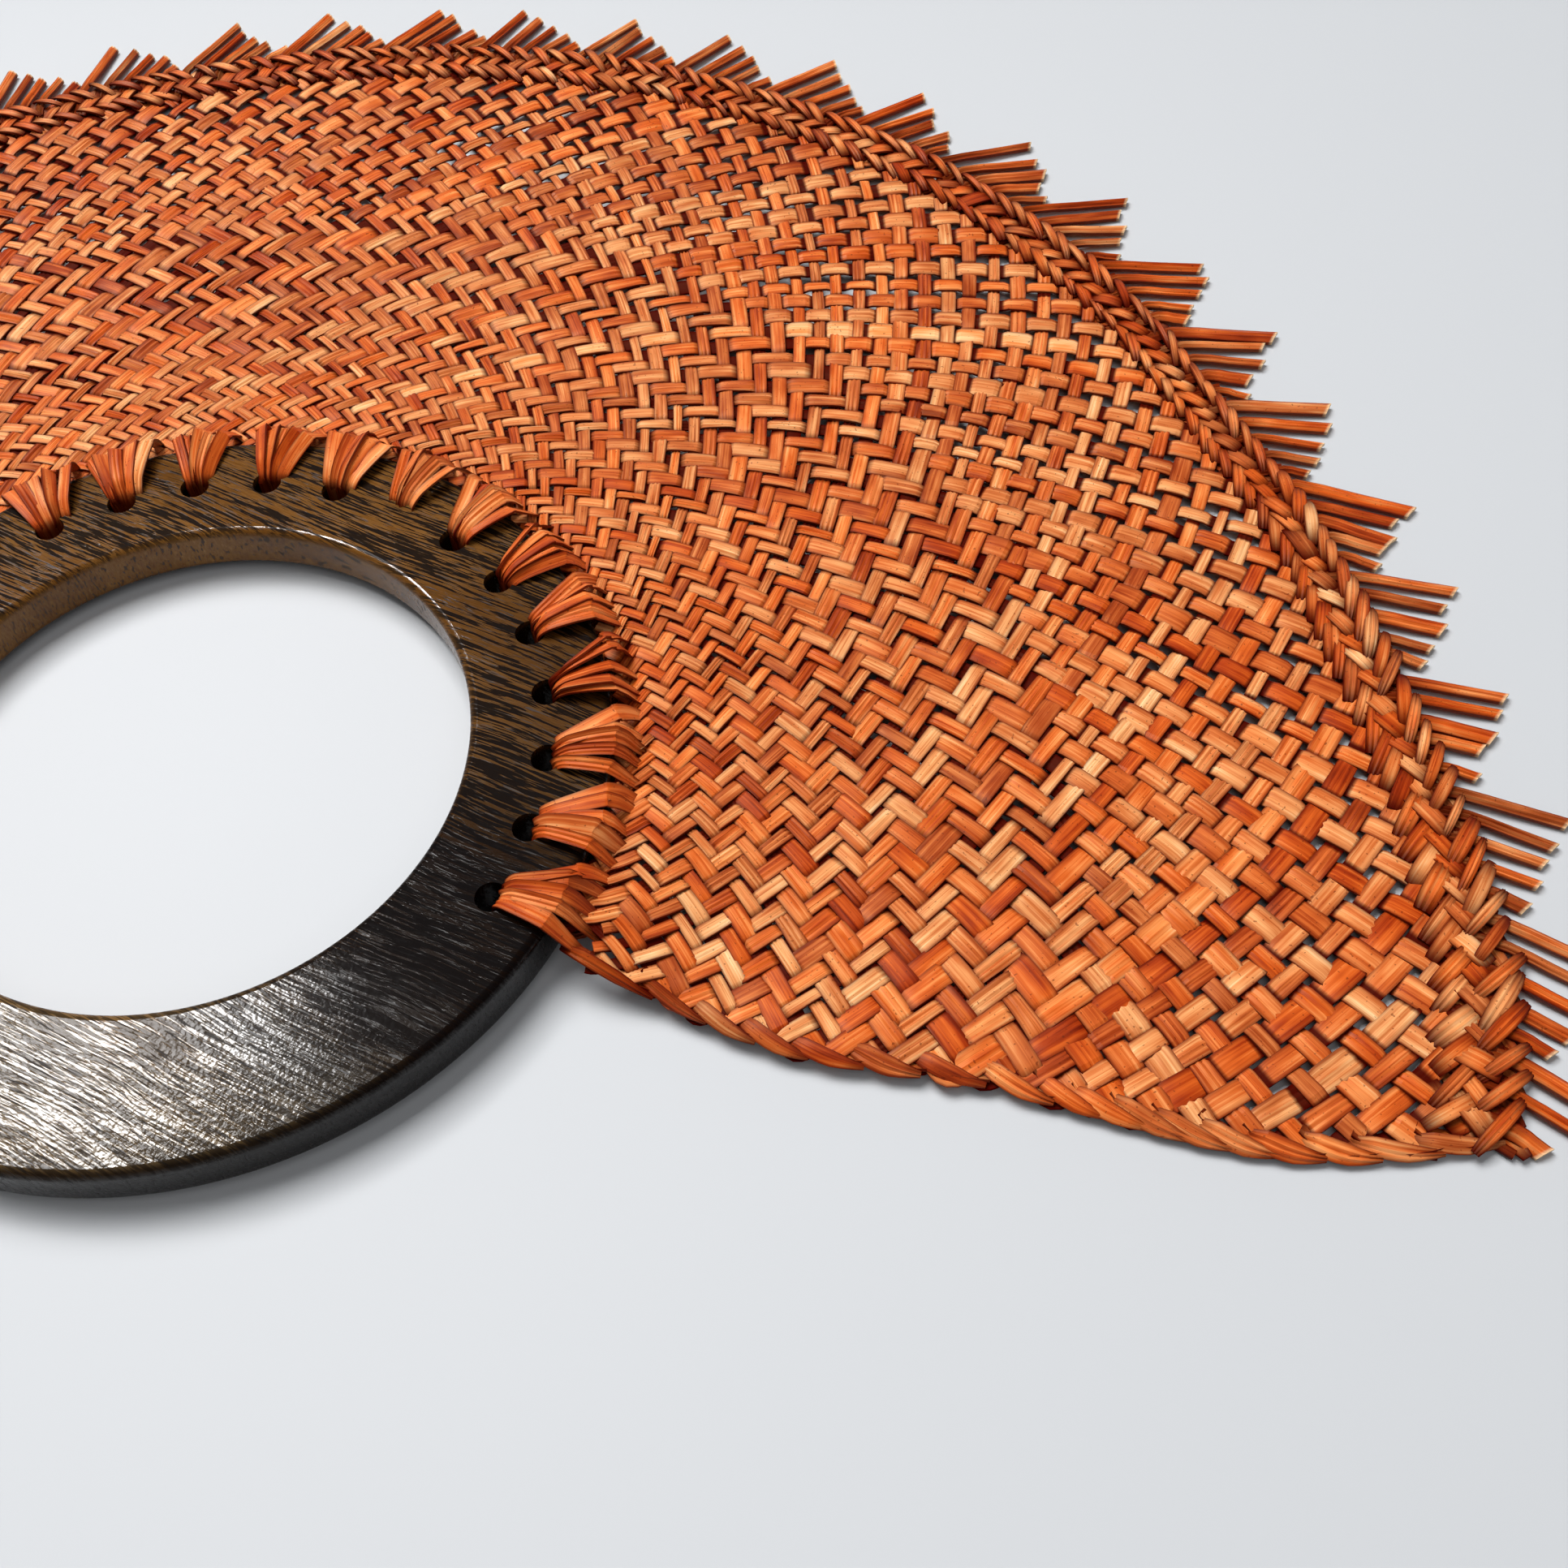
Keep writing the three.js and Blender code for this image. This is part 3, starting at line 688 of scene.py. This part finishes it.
def rim_wrap(strips, row, side, number):
    """One slanted, arched wrap of a row along the rim, over a strip of the fringe."""
    inset, usual_length, usual_width, bulge, sense, taper = row
    raised = 1 if side > 0 else BACK_WRAP_LIFT
    share = np.linspace(0, 1, 8)
    arch = np.sin(pi * share)
    middle = (number + rng.normal(0, WRAP_STRAY)) * FRINGE_PITCH
    slant = float(np.interp(np.degrees(middle), *WRAP_SLANT))
    slant = sense * radians(slant + rng.normal(0, SLANT_SPREAD))
    coarser = 1 + COARSENING * smoothstep(np.degrees(abs(middle)), *COARSENING_ANGLES)
    length = usual_length * coarser * rng.normal(1, WRAP_LENGTH_SPREAD) * MM
    radius = rim_radius(middle) - inset * MM - (share - 0.5) * length * sin(slant) * side
    angle = middle + (share - 0.5) * length * cos(slant) / RIM_RADIUS
    full_arch = arch**ARCH_FULLNESS
    height = WRAP_FOOT + bulge * full_arch + rng.normal(0, WRAP_HEIGHT_SPREAD)
    strips.add(
        place(radius, angle, RIM_MIDDLE + side * height * raised * MM),
        place(OUTWARD_LEAN, middle, side) - place(0, 0, 0),
        width=rng.normal(usual_width, WRAP_WIDTH_SPREAD) * coarser * MM * (1 - taper * (1 - full_arch)),
        tone=leaf_tone(WRAP_TONE),
        crown=WRAP_CROWN * taper * raised * MM,
        fold=rng.choice(WRAP_FOLDS) * raised * MM,
        # Painted shade towards the wrap's ends, where it dives under
        recess=(1 - arch) ** WRAP_DARKENING,
    )


def rim_wraps():
    """Rows of wraps along the round edge, front and back, over the feet of the fringe."""
    strips = Strips()
    for side in (1, -1):
        for row in RIM_ROWS:
            for number in range(-OUTERMOST_STRIP, OUTERMOST_STRIP + 1):
                rim_wrap(strips, row, side, number)
    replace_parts(strips.sweep("rim_wraps"), "rim_braid")


def selvedge_strip(strips, hand, side, row, first):
    """One strip that runs out along a lower edge to a point, from a hook in the weave."""
    share = np.linspace(0, 1, 9)
    middle, _ = woven_place(row + 0.4, hand * LATTICE_EDGE)
    length = rng.normal(*EDGE_LENGTH) * MM
    start = middle - BEFORE_ROW * length
    if row == first:
        start = min(start, EDGE_STRIP_FIRST)
    radius = start + (middle + AFTER_ROW * length - start) * share
    fullness = np.interp(middle, *THIN_TO_FULL)
    hook = rng.normal(*EDGE_HOOK) * fullness * MM * (1 - share) ** 2
    inset = (FRONT_EDGE_INSET if side > 0 else BACK_EDGE_INSET) + hook
    edge = selvedge_angle(radius)
    tilt = EDGE_TILT + EDGE_TILT_GAIN * share
    raised = np.interp(share, EDGE_SHARES, EDGE_HEIGHTS) * MM
    widest = rng.normal(*EDGE_WIDTH) * fullness * MM
    # Painted shade at the tucked ends, and along the thin strips by the ring
    shaded_ends = 0.7 * fading(share, 0, 0.2) + 0.5 * smoothstep(share, 0.7, 1)
    strips.add(
        place(radius, hand * (edge - inset / radius), weave_height(radius, edge) + side * raised),
        np.stack([np.zeros_like(share), -np.sin(tilt), side * np.cos(tilt)], axis=1),
        width=widest * np.interp(share, EDGE_SHARES, EDGE_WIDTHS),
        tone=leaf_tone(np.interp(middle, *DARK_TO_USUAL)),
        crown=EDGE_CROWN,
        fold=rng.choice(EDGE_FOLDS) * MM,
        recess=shaded_ends + 1.1 * (1 - fullness),
    )


def selvedge_wraps(name, hand):
    """Strips along one lower edge, where the weave's strips come to it, front and back."""
    strips = Strips()
    first = 2 if hand > 0 else 0
    twilled = range(first, FIRST_PLAIN_ROW - 1, TWILL_REPEAT)
    plain = range(FIRST_PLAIN_ROW - first // 2, LAST_ROW + 2, PLAIN_REPEAT)
    for side in (1, -1):
        for row in (*twilled, *plain):
            selvedge_strip(strips, hand, side, row, first)
    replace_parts(strips.sweep(name), name.replace("wraps", "braid"))


def fringe_strip(strips, number):
    """One strip end beyond the rim: its foot under the wraps, its length by its place in a tooth."""
    tooth, order = divmod(number + HALF_TOOTH, TOOTH_STRIPS)
    angle = (number + rng.normal(0, FRINGE_STRAY)) * FRINGE_PITCH
    lean = radians(TOOTH_LEANS.get(tooth, USUAL_LEAN)) + rng.normal(0, LEAN_SPREAD)
    heading = angle + lean
    reach = FRINGE_LONGEST + (FRINGE_SHORTEST - FRINGE_LONGEST) * (order + 0.2) / TOOTH_STRIPS
    length = (reach + rng.normal(0, REACH_SPREAD) * MM) / cos(lean)
    if number == OUTERMOST_STRIP:
        length = length * CORNER_STRIP_SHARE
    width = rng.uniform(*FRINGE_WIDTHS) * MM
    rim = float(rim_radius(angle))
    away = np.array([sin(heading), cos(heading), 0])
    root = place(rim, angle, RIM_MIDDLE)
    lowered = np.array([0, 0, rng.uniform(*FRINGE_SINKS) * MM])
    stations = [
        place(rim - 8 * MM, angle - 0.6 * FRINGE_PITCH, RIM_MIDDLE - 0.3 * MM),
        place(rim - 4.3 * MM, angle - 0.3 * FRINGE_PITCH, RIM_MIDDLE - 0.15 * MM),
        root,
        root + away * length * 0.5 + lowered / 2,
        root + away * (length - CUT_LENGTH) + lowered,
    ]
    spine = np.concatenate([curve_through(stations, 2), [root + away * length + lowered]])
    point = np.arange(len(spine))
    last = len(spine) - 1
    strips.add(
        spine,
        (rng.normal(0, FRINGE_TWIST), rng.normal(0, FRINGE_TWIST), 1),
        width=width,
        tone=leaf_tone(FRINGE_TONE),
        crown=FRINGE_CROWN,
        fold=rng.choice(FRINGE_FOLDS) * MM,
        slant=-CUT_SLANT * width * (point >= last - 1),
        cut=point == last,
        # Painted shade on the foot, under the wraps
        recess=0.6 * np.interp(point, [3, 5], [1, 0]),
    )


def fringe_stub(strips, number):
    """The short cut end of a strip of the other family, behind the feet of the fringe."""
    angle = (number + 0.5 + rng.normal(0, STUB_STRAY)) * FRINGE_PITCH
    share = np.linspace(0, 1, 3)
    radius = float(rim_radius(angle)) - STUB_FOOT + share * rng.uniform(*STUB_LENGTHS) * MM
    spine = place(radius, angle + 0.3 * share * FRINGE_PITCH, RIM_MIDDLE - 0.4 * MM)
    # The stub lies in painted shade behind the fringe's feet
    strips.add(spine, width=STUB_WIDTH, tone=leaf_tone(STUB_TONE), crown=STUB_CROWN, recess=0.6)


def fringe():
    """Strip ends beyond the rim, leaning clockwise and cut to saw teeth, in four stretches."""
    quarter = round((OUTERMOST_STRIP + HALF_TOOTH) // TOOTH_STRIPS / 2)
    inner = [tooth * TOOTH_STRIPS - HALF_TOOTH for tooth in (-quarter, 0, quarter)]
    seams = [-OUTERMOST_STRIP, *inner, OUTERMOST_STRIP + 1]
    for stretch, first, end in zip(STRETCHES, seams, seams[1:]):
        name = f"fringe_{stretch}"
        strips = Strips()
        for number in range(first, end):
            fringe_strip(strips, number)
            fringe_stub(strips, number)
        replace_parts(strips.sweep(f"{name}_strips", FRINGE_THICKNESS), name)


def ring_mesh():
    """The ring before drilling: a turned board with rounded edges and a grip hole set off centre."""
    turns = np.linspace(0, 2 * pi, RING_FACETS, endpoint=False)
    round_turns = np.linspace(0, pi / 2, EDGE_FACETS)
    level = RING_FACE - RING_EDGE_ROUND
    loops = []
    # The section's four rounded corners: outer edge or hole, front or back
    for hole, end in ((0, 1), (1, 1), (1, -1), (0, -1)):
        ordered = round_turns if (hole == 0) == (end == 1) else round_turns[::-1]
        for turn in ordered:
            inset = RING_EDGE_ROUND * (1 - cos(turn))
            height = RING_CENTRE.z + end * (level + RING_EDGE_ROUND * sin(turn))
            radius = GRIP_RADIUS + inset if hole else RING_RADIUS - inset
            x = RING_CENTRE.x + radius * np.sin(turns)
            y = RING_CENTRE.y + hole * GRIP_OFFSET + radius * np.cos(turns)
            loops.append(np.stack([x, y, np.full(RING_FACETS, height)], axis=1))
    faces = []
    for loop in range(len(loops)):
        here = loop * RING_FACETS
        there = (loop + 1) % len(loops) * RING_FACETS
        for facet in range(RING_FACETS):
            following = (facet + 1) % RING_FACETS
            faces.append((here + facet, here + following, there + following, there + facet))
    mesh = bpy.data.meshes.new("ring")
    mesh.from_pydata(np.concatenate(loops).tolist(), [], faces)
    return mesh


def drilled_tree():
    """Drills an arc of holes through a board."""
    lengths = ("Hole radius", "Hole circle", "First angle", "Pitch", "Depth")
    inputs = {"Board": "Geometry", **dict.fromkeys(lengths, "Float")}
    inputs.update({"Holes": "Int", "Centre": "Vector", "Finish": "Material"})
    tree, bench = geometry_bench("drilled holes", inputs, "Drilled")
    given = bench.node("NodeGroupInput")
    turn = given.output("First angle") + bench.node("GeometryNodeInputIndex") * given.output("Pitch")
    sockets = {
        "X": given.output("Hole circle") * turn.apply("SINE"),
        "Y": given.output("Hole circle") * turn.apply("COSINE"),
    }
    spot = bench.vector("ADD", bench.node("ShaderNodeCombineXYZ", sockets), given.output("Centre"))
    points = bench.node("GeometryNodePoints", {"Count": given.output("Holes"), "Position": spot})
    sockets = {"Vertices": HOLE_FACETS, "Radius": given.output("Hole radius"), "Depth": given.output("Depth")}
    drill = bench.node("GeometryNodeMeshCylinder", sockets)
    drills = bench.node("GeometryNodeInstanceOnPoints", {"Points": points, "Instance": drill})
    drills = bench.node("GeometryNodeRealizeInstances", {"Geometry": drills})
    board = bench.node("GeometryNodeMeshBoolean", {0: given, 1: drills}, operation="DIFFERENCE")
    curved = bench.part(bench.node("GeometryNodeInputNormal"), "Z").apply("ABSOLUTE") < 0.999
    board = smooth_with_edges(bench, board, curved, SHARP_BOARD_EDGE)
    end_tree(bench, board, given.output("Finish"), "Drilled")
    return tree


def ring():
    """The wooden ring handle with its lacing holes."""
    values = {
        "Hole radius": LACING_HOLE_RADIUS,
        "Hole circle": LACING_RADIUS,
        "First angle": -LAST_HOLE_ANGLE,
        "Pitch": LACING_PITCH,
        "Depth": 4 * RING_FACE,
        "Holes": LACING_HOLES,
        "Centre": RING_CENTRE,
        "Finish": WOOD,
    }
    piece = made_by_tree("ring", ring_mesh(), drilled_tree(), values)
    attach(piece, "root")
    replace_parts(piece, "ring_handle")


def shader_bench(name):
    material = bpy.data.materials.new(name)
    material.use_nodes = True
    return material, Bench(material.node_tree)


def leaf_finish():
    """Dyed palm leaf: a dye depth for each strip, lengthwise fibres and specks, edges darkened partly in
    their own colour and partly with painted shade, and painted shade where strips dive.
    """
    material, bench = shader_bench("dyed palm leaf")
    fresh_dye = [
        (0.0, (0.13, 0.005, 0.0004)),
        (0.25, (0.37, 0.034, 0.002)),
        (0.5, (0.64, 0.105, 0.010)),
        (0.75, (0.84, 0.26, 0.064)),
        (1.0, (0.95, 0.54, 0.25)),
    ]
    faded_dye = [
        (0.0, (0.11, 0.013, 0.002)),
        (0.25, (0.32, 0.054, 0.009)),
        (0.5, (0.56, 0.158, 0.041)),
        (0.75, (0.80, 0.37, 0.142)),
        (1.0, (0.95, 0.66, 0.35)),
    ]
    dark_edge_and_shade = (0.13, 0.006, 0.0006, 1)
    painted_recess_shade = (0.045, 0.001, 0.0003, 1)
    speck = (0.10, 0.010, 0.002, 1)
    bare_cut = (0.90, 0.66, 0.38, 1)
    unlit_dive = (0.06, 0.0012, 0.0003, 1)

    def attribute(name):
        return bench.node("ShaderNodeAttribute", output="Fac", attribute_name=name)

    names = ("tone", "across", "run", "cut", "recess", "faded")
    tone, across, run, cut, recess, faded = (attribute(name) for name in names)

    def noise(cells_across, cells_along, layer, detail=2.0):
        """Noise by cells in half a strip's width and in a metre of its length, its own for each strip."""
        sockets = {"X": across * cells_across, "Y": run * cells_along, "Z": tone * 917 + layer}
        return bench.noise(bench.node("ShaderNodeCombineXYZ", sockets), 1.0, detail)

    fibres = noise(4, 60, 0, 3.0)
    lines = noise(13, 25, 20)
    blotches = noise(0.7, 140, 40)
    specks = noise(4, 2600, 80, 0.0)
    depth = tone + (fibres - 0.5) * 0.8 + (lines - 0.5) * 0.3 + (blotches - 0.5) * 0.8
    colour = bench.mixed(faded, bench.coloured(depth, fresh_dye), bench.coloured(depth, faded_dye))
    # Darker edges: partly the cut edges' own colour, partly painted shade between the strips
    edge = across.apply("ABSOLUTE") ** 5
    colour = bench.mixed(edge * 0.85, colour, dark_edge_and_shade)
    # Painted shade where a strip dives, lies under others or sits by a hole
    colour = bench.mixed(recess * 0.95, colour, painted_recess_shade)
    colour = bench.mixed((specks > 0.78) * 0.6, colour, speck)
    colour = bench.mixed(cut * 0.85, colour, bare_cut)
    bump = bench.node("ShaderNodeBump", {"Strength": 0.5, "Distance": 0.12 * MM, "Height": fibres})
    more = {"Normal": bump, "Specular Tint": (1.0, 0.75, 0.5, 1)}
    waxy = bench.surface(colour, 0.38 + fibres * 0.2, 0.35, more)
    # The painted shade also dulls the sheen: a dark unlit surface is mixed in at edges and dives
    shade_surface = bench.surface(unlit_dive, 0.9, 0.0)
    shader = bench.node("ShaderNodeMixShader", {"Fac": edge * 0.3 + recess * 0.7, 1: waxy, 2: shade_surface})
    bench.node("ShaderNodeOutputMaterial", {"Surface": shader})
    return material


def wood_finish():
    """Dark lacquered hardwood: brown and black grain a little askew of X, a near black patch of painted
    shade, painted shade in the lacing holes, and pores.
    """
    material, bench = shader_bench("lacquered hardwood")
    brown_grain = [
        (0.25, (0.020, 0.006, 0.001)),
        (0.42, (0.125, 0.049, 0.009)),
        (0.58, (0.235, 0.108, 0.025)),
        (0.8, (0.38, 0.21, 0.06)),
    ]
    darker_right = (0.03, 0.012, 0.004, 1)
    golden_grip = (0.12, 0.093, 0.045, 1)
    darkened_outer_edge = (0.012, 0.007, 0.004, 1)
    painted_hole_shade = (0.003, 0.002, 0.001, 1)
    painted_shade_patch = (0.004, 0.002, 0.0015, 1)
    pore = (0.006, 0.004, 0.003, 1)
    bare_black = (0.003, 0.002, 0.002, 1)
    shade_patch_middle = (44 * MM, -17 * MM, 0)

    spot = bench.node("ShaderNodeTexCoord", output="Object")
    centred = bench.vector("SUBTRACT", spot, tuple(RING_CENTRE))
    along_grain = bench.node("ShaderNodeMapping", {"Vector": centred, "Rotation": (0, 0, radians(11))})
    sway = (bench.noise(along_grain, 40.0, 1.0) - 0.5) * (3 * MM)
    sway = bench.node("ShaderNodeCombineXYZ", {"Y": sway})
    along_grain = bench.vector("ADD", along_grain, sway)

    def grain(along, across, detail, rough=0.5):
        """Noise drawn out along the grain, by its cells in a metre."""
        sockets = {"Vector": along_grain, "Scale": (along, across, across / 4)}
        return bench.noise(bench.node("ShaderNodeMapping", sockets), 1.0, detail, rough)

    bands = grain(10, 60, 3.0)
    streaks = grain(150, 3200, 3.0, 0.6)
    pores = grain(260, 3600, 1.0)
    black = bench.ramp(streaks + bands * 0.35, 0.645, 0.68)
    open_pore = bench.ramp(pores, 0.60, 0.66)
    # A near black patch of painted shade on the lower right, with less bump there
    from_patch = bench.vector("DISTANCE", centred, shade_patch_middle, output=1)
    shade_patch = bench.ramp(from_patch + (bands - 0.5) * (30 * MM), 36 * MM, 12 * MM)

    rightward, upward = bench.part(centred, "X"), bench.part(centred, "Y")
    on_face = bench.ramp(bench.part(centred, "Z").apply("ABSOLUTE"), RING_FACE - RING_EDGE_ROUND, RING_FACE)
    golden = bench.ramp(upward + (bands - 0.5) * (40 * MM), -12 * MM, -36 * MM) * on_face
    flat_spot = bench.vector("MULTIPLY", centred, (1, 1, 0))
    from_middle = bench.node("ShaderNodeVectorMath", {0: flat_spot}, 1, operation="LENGTH")
    # Darker on the rounded outer edge and the outer wall
    outer_edge = bench.ramp(from_middle, RING_RADIUS - 1.8 * MM, RING_RADIUS - 0.5 * MM)
    # Painted shade on the walls of the lacing holes
    in_hole = (1 - on_face) * bench.ramp(from_middle, LACING_RADIUS - 4 * MM, LACING_RADIUS - 2.4 * MM)

    colour = bench.coloured(bands * 0.7 + streaks * 0.5 - 0.1, brown_grain)
    for amount, over in (
        (bench.ramp(rightward, 10 * MM, 42 * MM) * 0.5, darker_right),
        (golden * 0.6, golden_grip),
        (outer_edge * 0.85, darkened_outer_edge),
        # Painted shade in the lacing holes
        (in_hole * 0.95, painted_hole_shade),
        # Painted shade: the near black patch
        (shade_patch * 0.95, painted_shade_patch),
        (open_pore * 0.75, pore),
    ):
        colour = bench.mixed(amount, colour, over)

    # The lacquer sparkles on the grip and is calmer above
    sparkle = bench.noise(along_grain, 1900.0, 1.0)
    sparkling = 0.3 + 0.7 * bench.ramp(upward, 0, -25 * MM)
    height = (sparkle * 1.2 + streaks * 0.7) * (1 - shade_patch * 0.6) - open_pore * 0.5 - black * 0.4
    height = height * sparkling
    bump = bench.node("ShaderNodeBump", {"Strength": 1.0, "Distance": 0.028 * MM, "Height": height})
    lacquered = bench.surface(colour, 0.1 + pores * 0.06 + open_pore * 0.2, 0.26, {"Normal": bump})
    bare = bench.surface(bare_black, 0.6, 0.03)
    unlacquered = black * (0.96 - golden * 0.25) * (0.15 + on_face * 0.85)
    shader = bench.node("ShaderNodeMixShader", {"Fac": unlacquered, 1: lacquered, 2: bare})
    bench.node("ShaderNodeOutputMaterial", {"Surface": shader})
    return material


def floor_finish():
    """Pale board with a painted pool of light: lightest by the fan's grip and a shade darker away from it."""
    material, bench = shader_bench("pale floor")
    painted_light_by_grip, far_off = (0.585, 0.598, 0.617, 1), (0.50, 0.515, 0.533, 1)
    spot = bench.node("ShaderNodeTexCoord", output="Object")
    away = bench.vector("DISTANCE", spot, (-20 * MM, -20 * MM, 0), output=1)
    # Painted pool of light, fading away from the grip
    colour = bench.mixed(bench.ramp(away, 20 * MM, 260 * MM), painted_light_by_grip, far_off)
    bench.node("ShaderNodeOutputMaterial", {"Surface": bench.surface(colour, 0.6, 0.5)})
    return material


def pale_floor():
    """A round floor under the fan."""
    turns = np.linspace(2 * pi, 0, FLOOR_POINTS, endpoint=False)
    mesh = bpy.data.meshes.new("floor")
    mesh.from_pydata(place(FLOOR_RADIUS, turns, 0).tolist(), [], [range(len(turns))])
    mesh.materials.append(floor_finish())
    floor = added("floor", mesh)


def pale_room():
    """Pale walls round the floor that go over into a dim ceiling."""
    wall, ceiling = (0.60, 0.62, 0.65, 1), (0.03, 0.03, 0.032, 1)
    world = bpy.data.worlds.new("studio")
    world.use_nodes = True
    bench = Bench(world.node_tree)
    direction = bench.node("ShaderNodeTexCoord", output="Generated")
    overhead = bench.ramp(bench.part(direction, "Z"), 0.1, 0.45)
    sky = bench.node("ShaderNodeBackground", {"Color": bench.mixed(overhead, wall, ceiling)})
    bench.node("ShaderNodeOutputWorld", {"Surface": sky})
    bpy.context.scene.world = world


def lamps():
    """A small window that only the lacquer mirrors, and two soft lamps that light the rest without glare."""
    for name, spot, size, power in LAMPS:
        light = bpy.data.lights.new(name, "AREA")
        light.size = size
        light.energy = power
        lamp = added(name, light)
        lamp.location = spot
        lamp.rotation_euler = (-Vector(spot)).to_track_quat("-Z", "Y").to_euler()
        lamp.visible_glossy = name == "window"
        lamp.visible_diffuse = not lamp.visible_glossy


def camera():
    """The camera's place from the ring's top and middle, and its heading, pitch and roll."""
    from_ring = Vector((120.4, -96.0, 177.75)) * MM
    heading, pitch, roll = (radians(turn) for turn in (22.134, 55.684, -5.752))
    focal_pixels, picture_pixels = 2200, 1932
    level = Vector((cos(heading), sin(heading), 0))
    ahead = Vector((-sin(heading) * cos(pitch), cos(heading) * cos(pitch), 0))
    forward = ahead + Vector((0, 0, -sin(pitch)))
    upright = level.cross(forward)
    right = level * cos(roll) + upright * sin(roll)
    up = upright * cos(roll) - level * sin(roll)
    eye_place = Vector((RING_CENTRE.x, RING_CENTRE.y, RING_HIGH.z)) + from_ring
    lens = bpy.data.cameras.new("camera")
    lens.sensor_width = 36
    lens.lens = lens.sensor_width * focal_pixels / picture_pixels
    lens.clip_start = 0.01
    eye = added("camera", lens)
    axes = Matrix((right, up, -forward)).transposed()
    eye.matrix_world = Matrix.Translation(eye_place) @ axes.to_4x4()
    bpy.context.scene.camera = eye


LEAF = leaf_finish()
WOOD = wood_finish()
STRIP_TREE = strip_tree()

ring()
for hole in range(LACING_HOLES):
    lacing_bundle(hole)
weave()
rim_wraps()
selvedge_wraps("selvedge_wraps_left", -1)
selvedge_wraps("selvedge_wraps_right", 1)
fringe()
pale_floor()
pale_room()
lamps()
camera()
bpy.context.scene.view_settings.view_transform = "Standard"
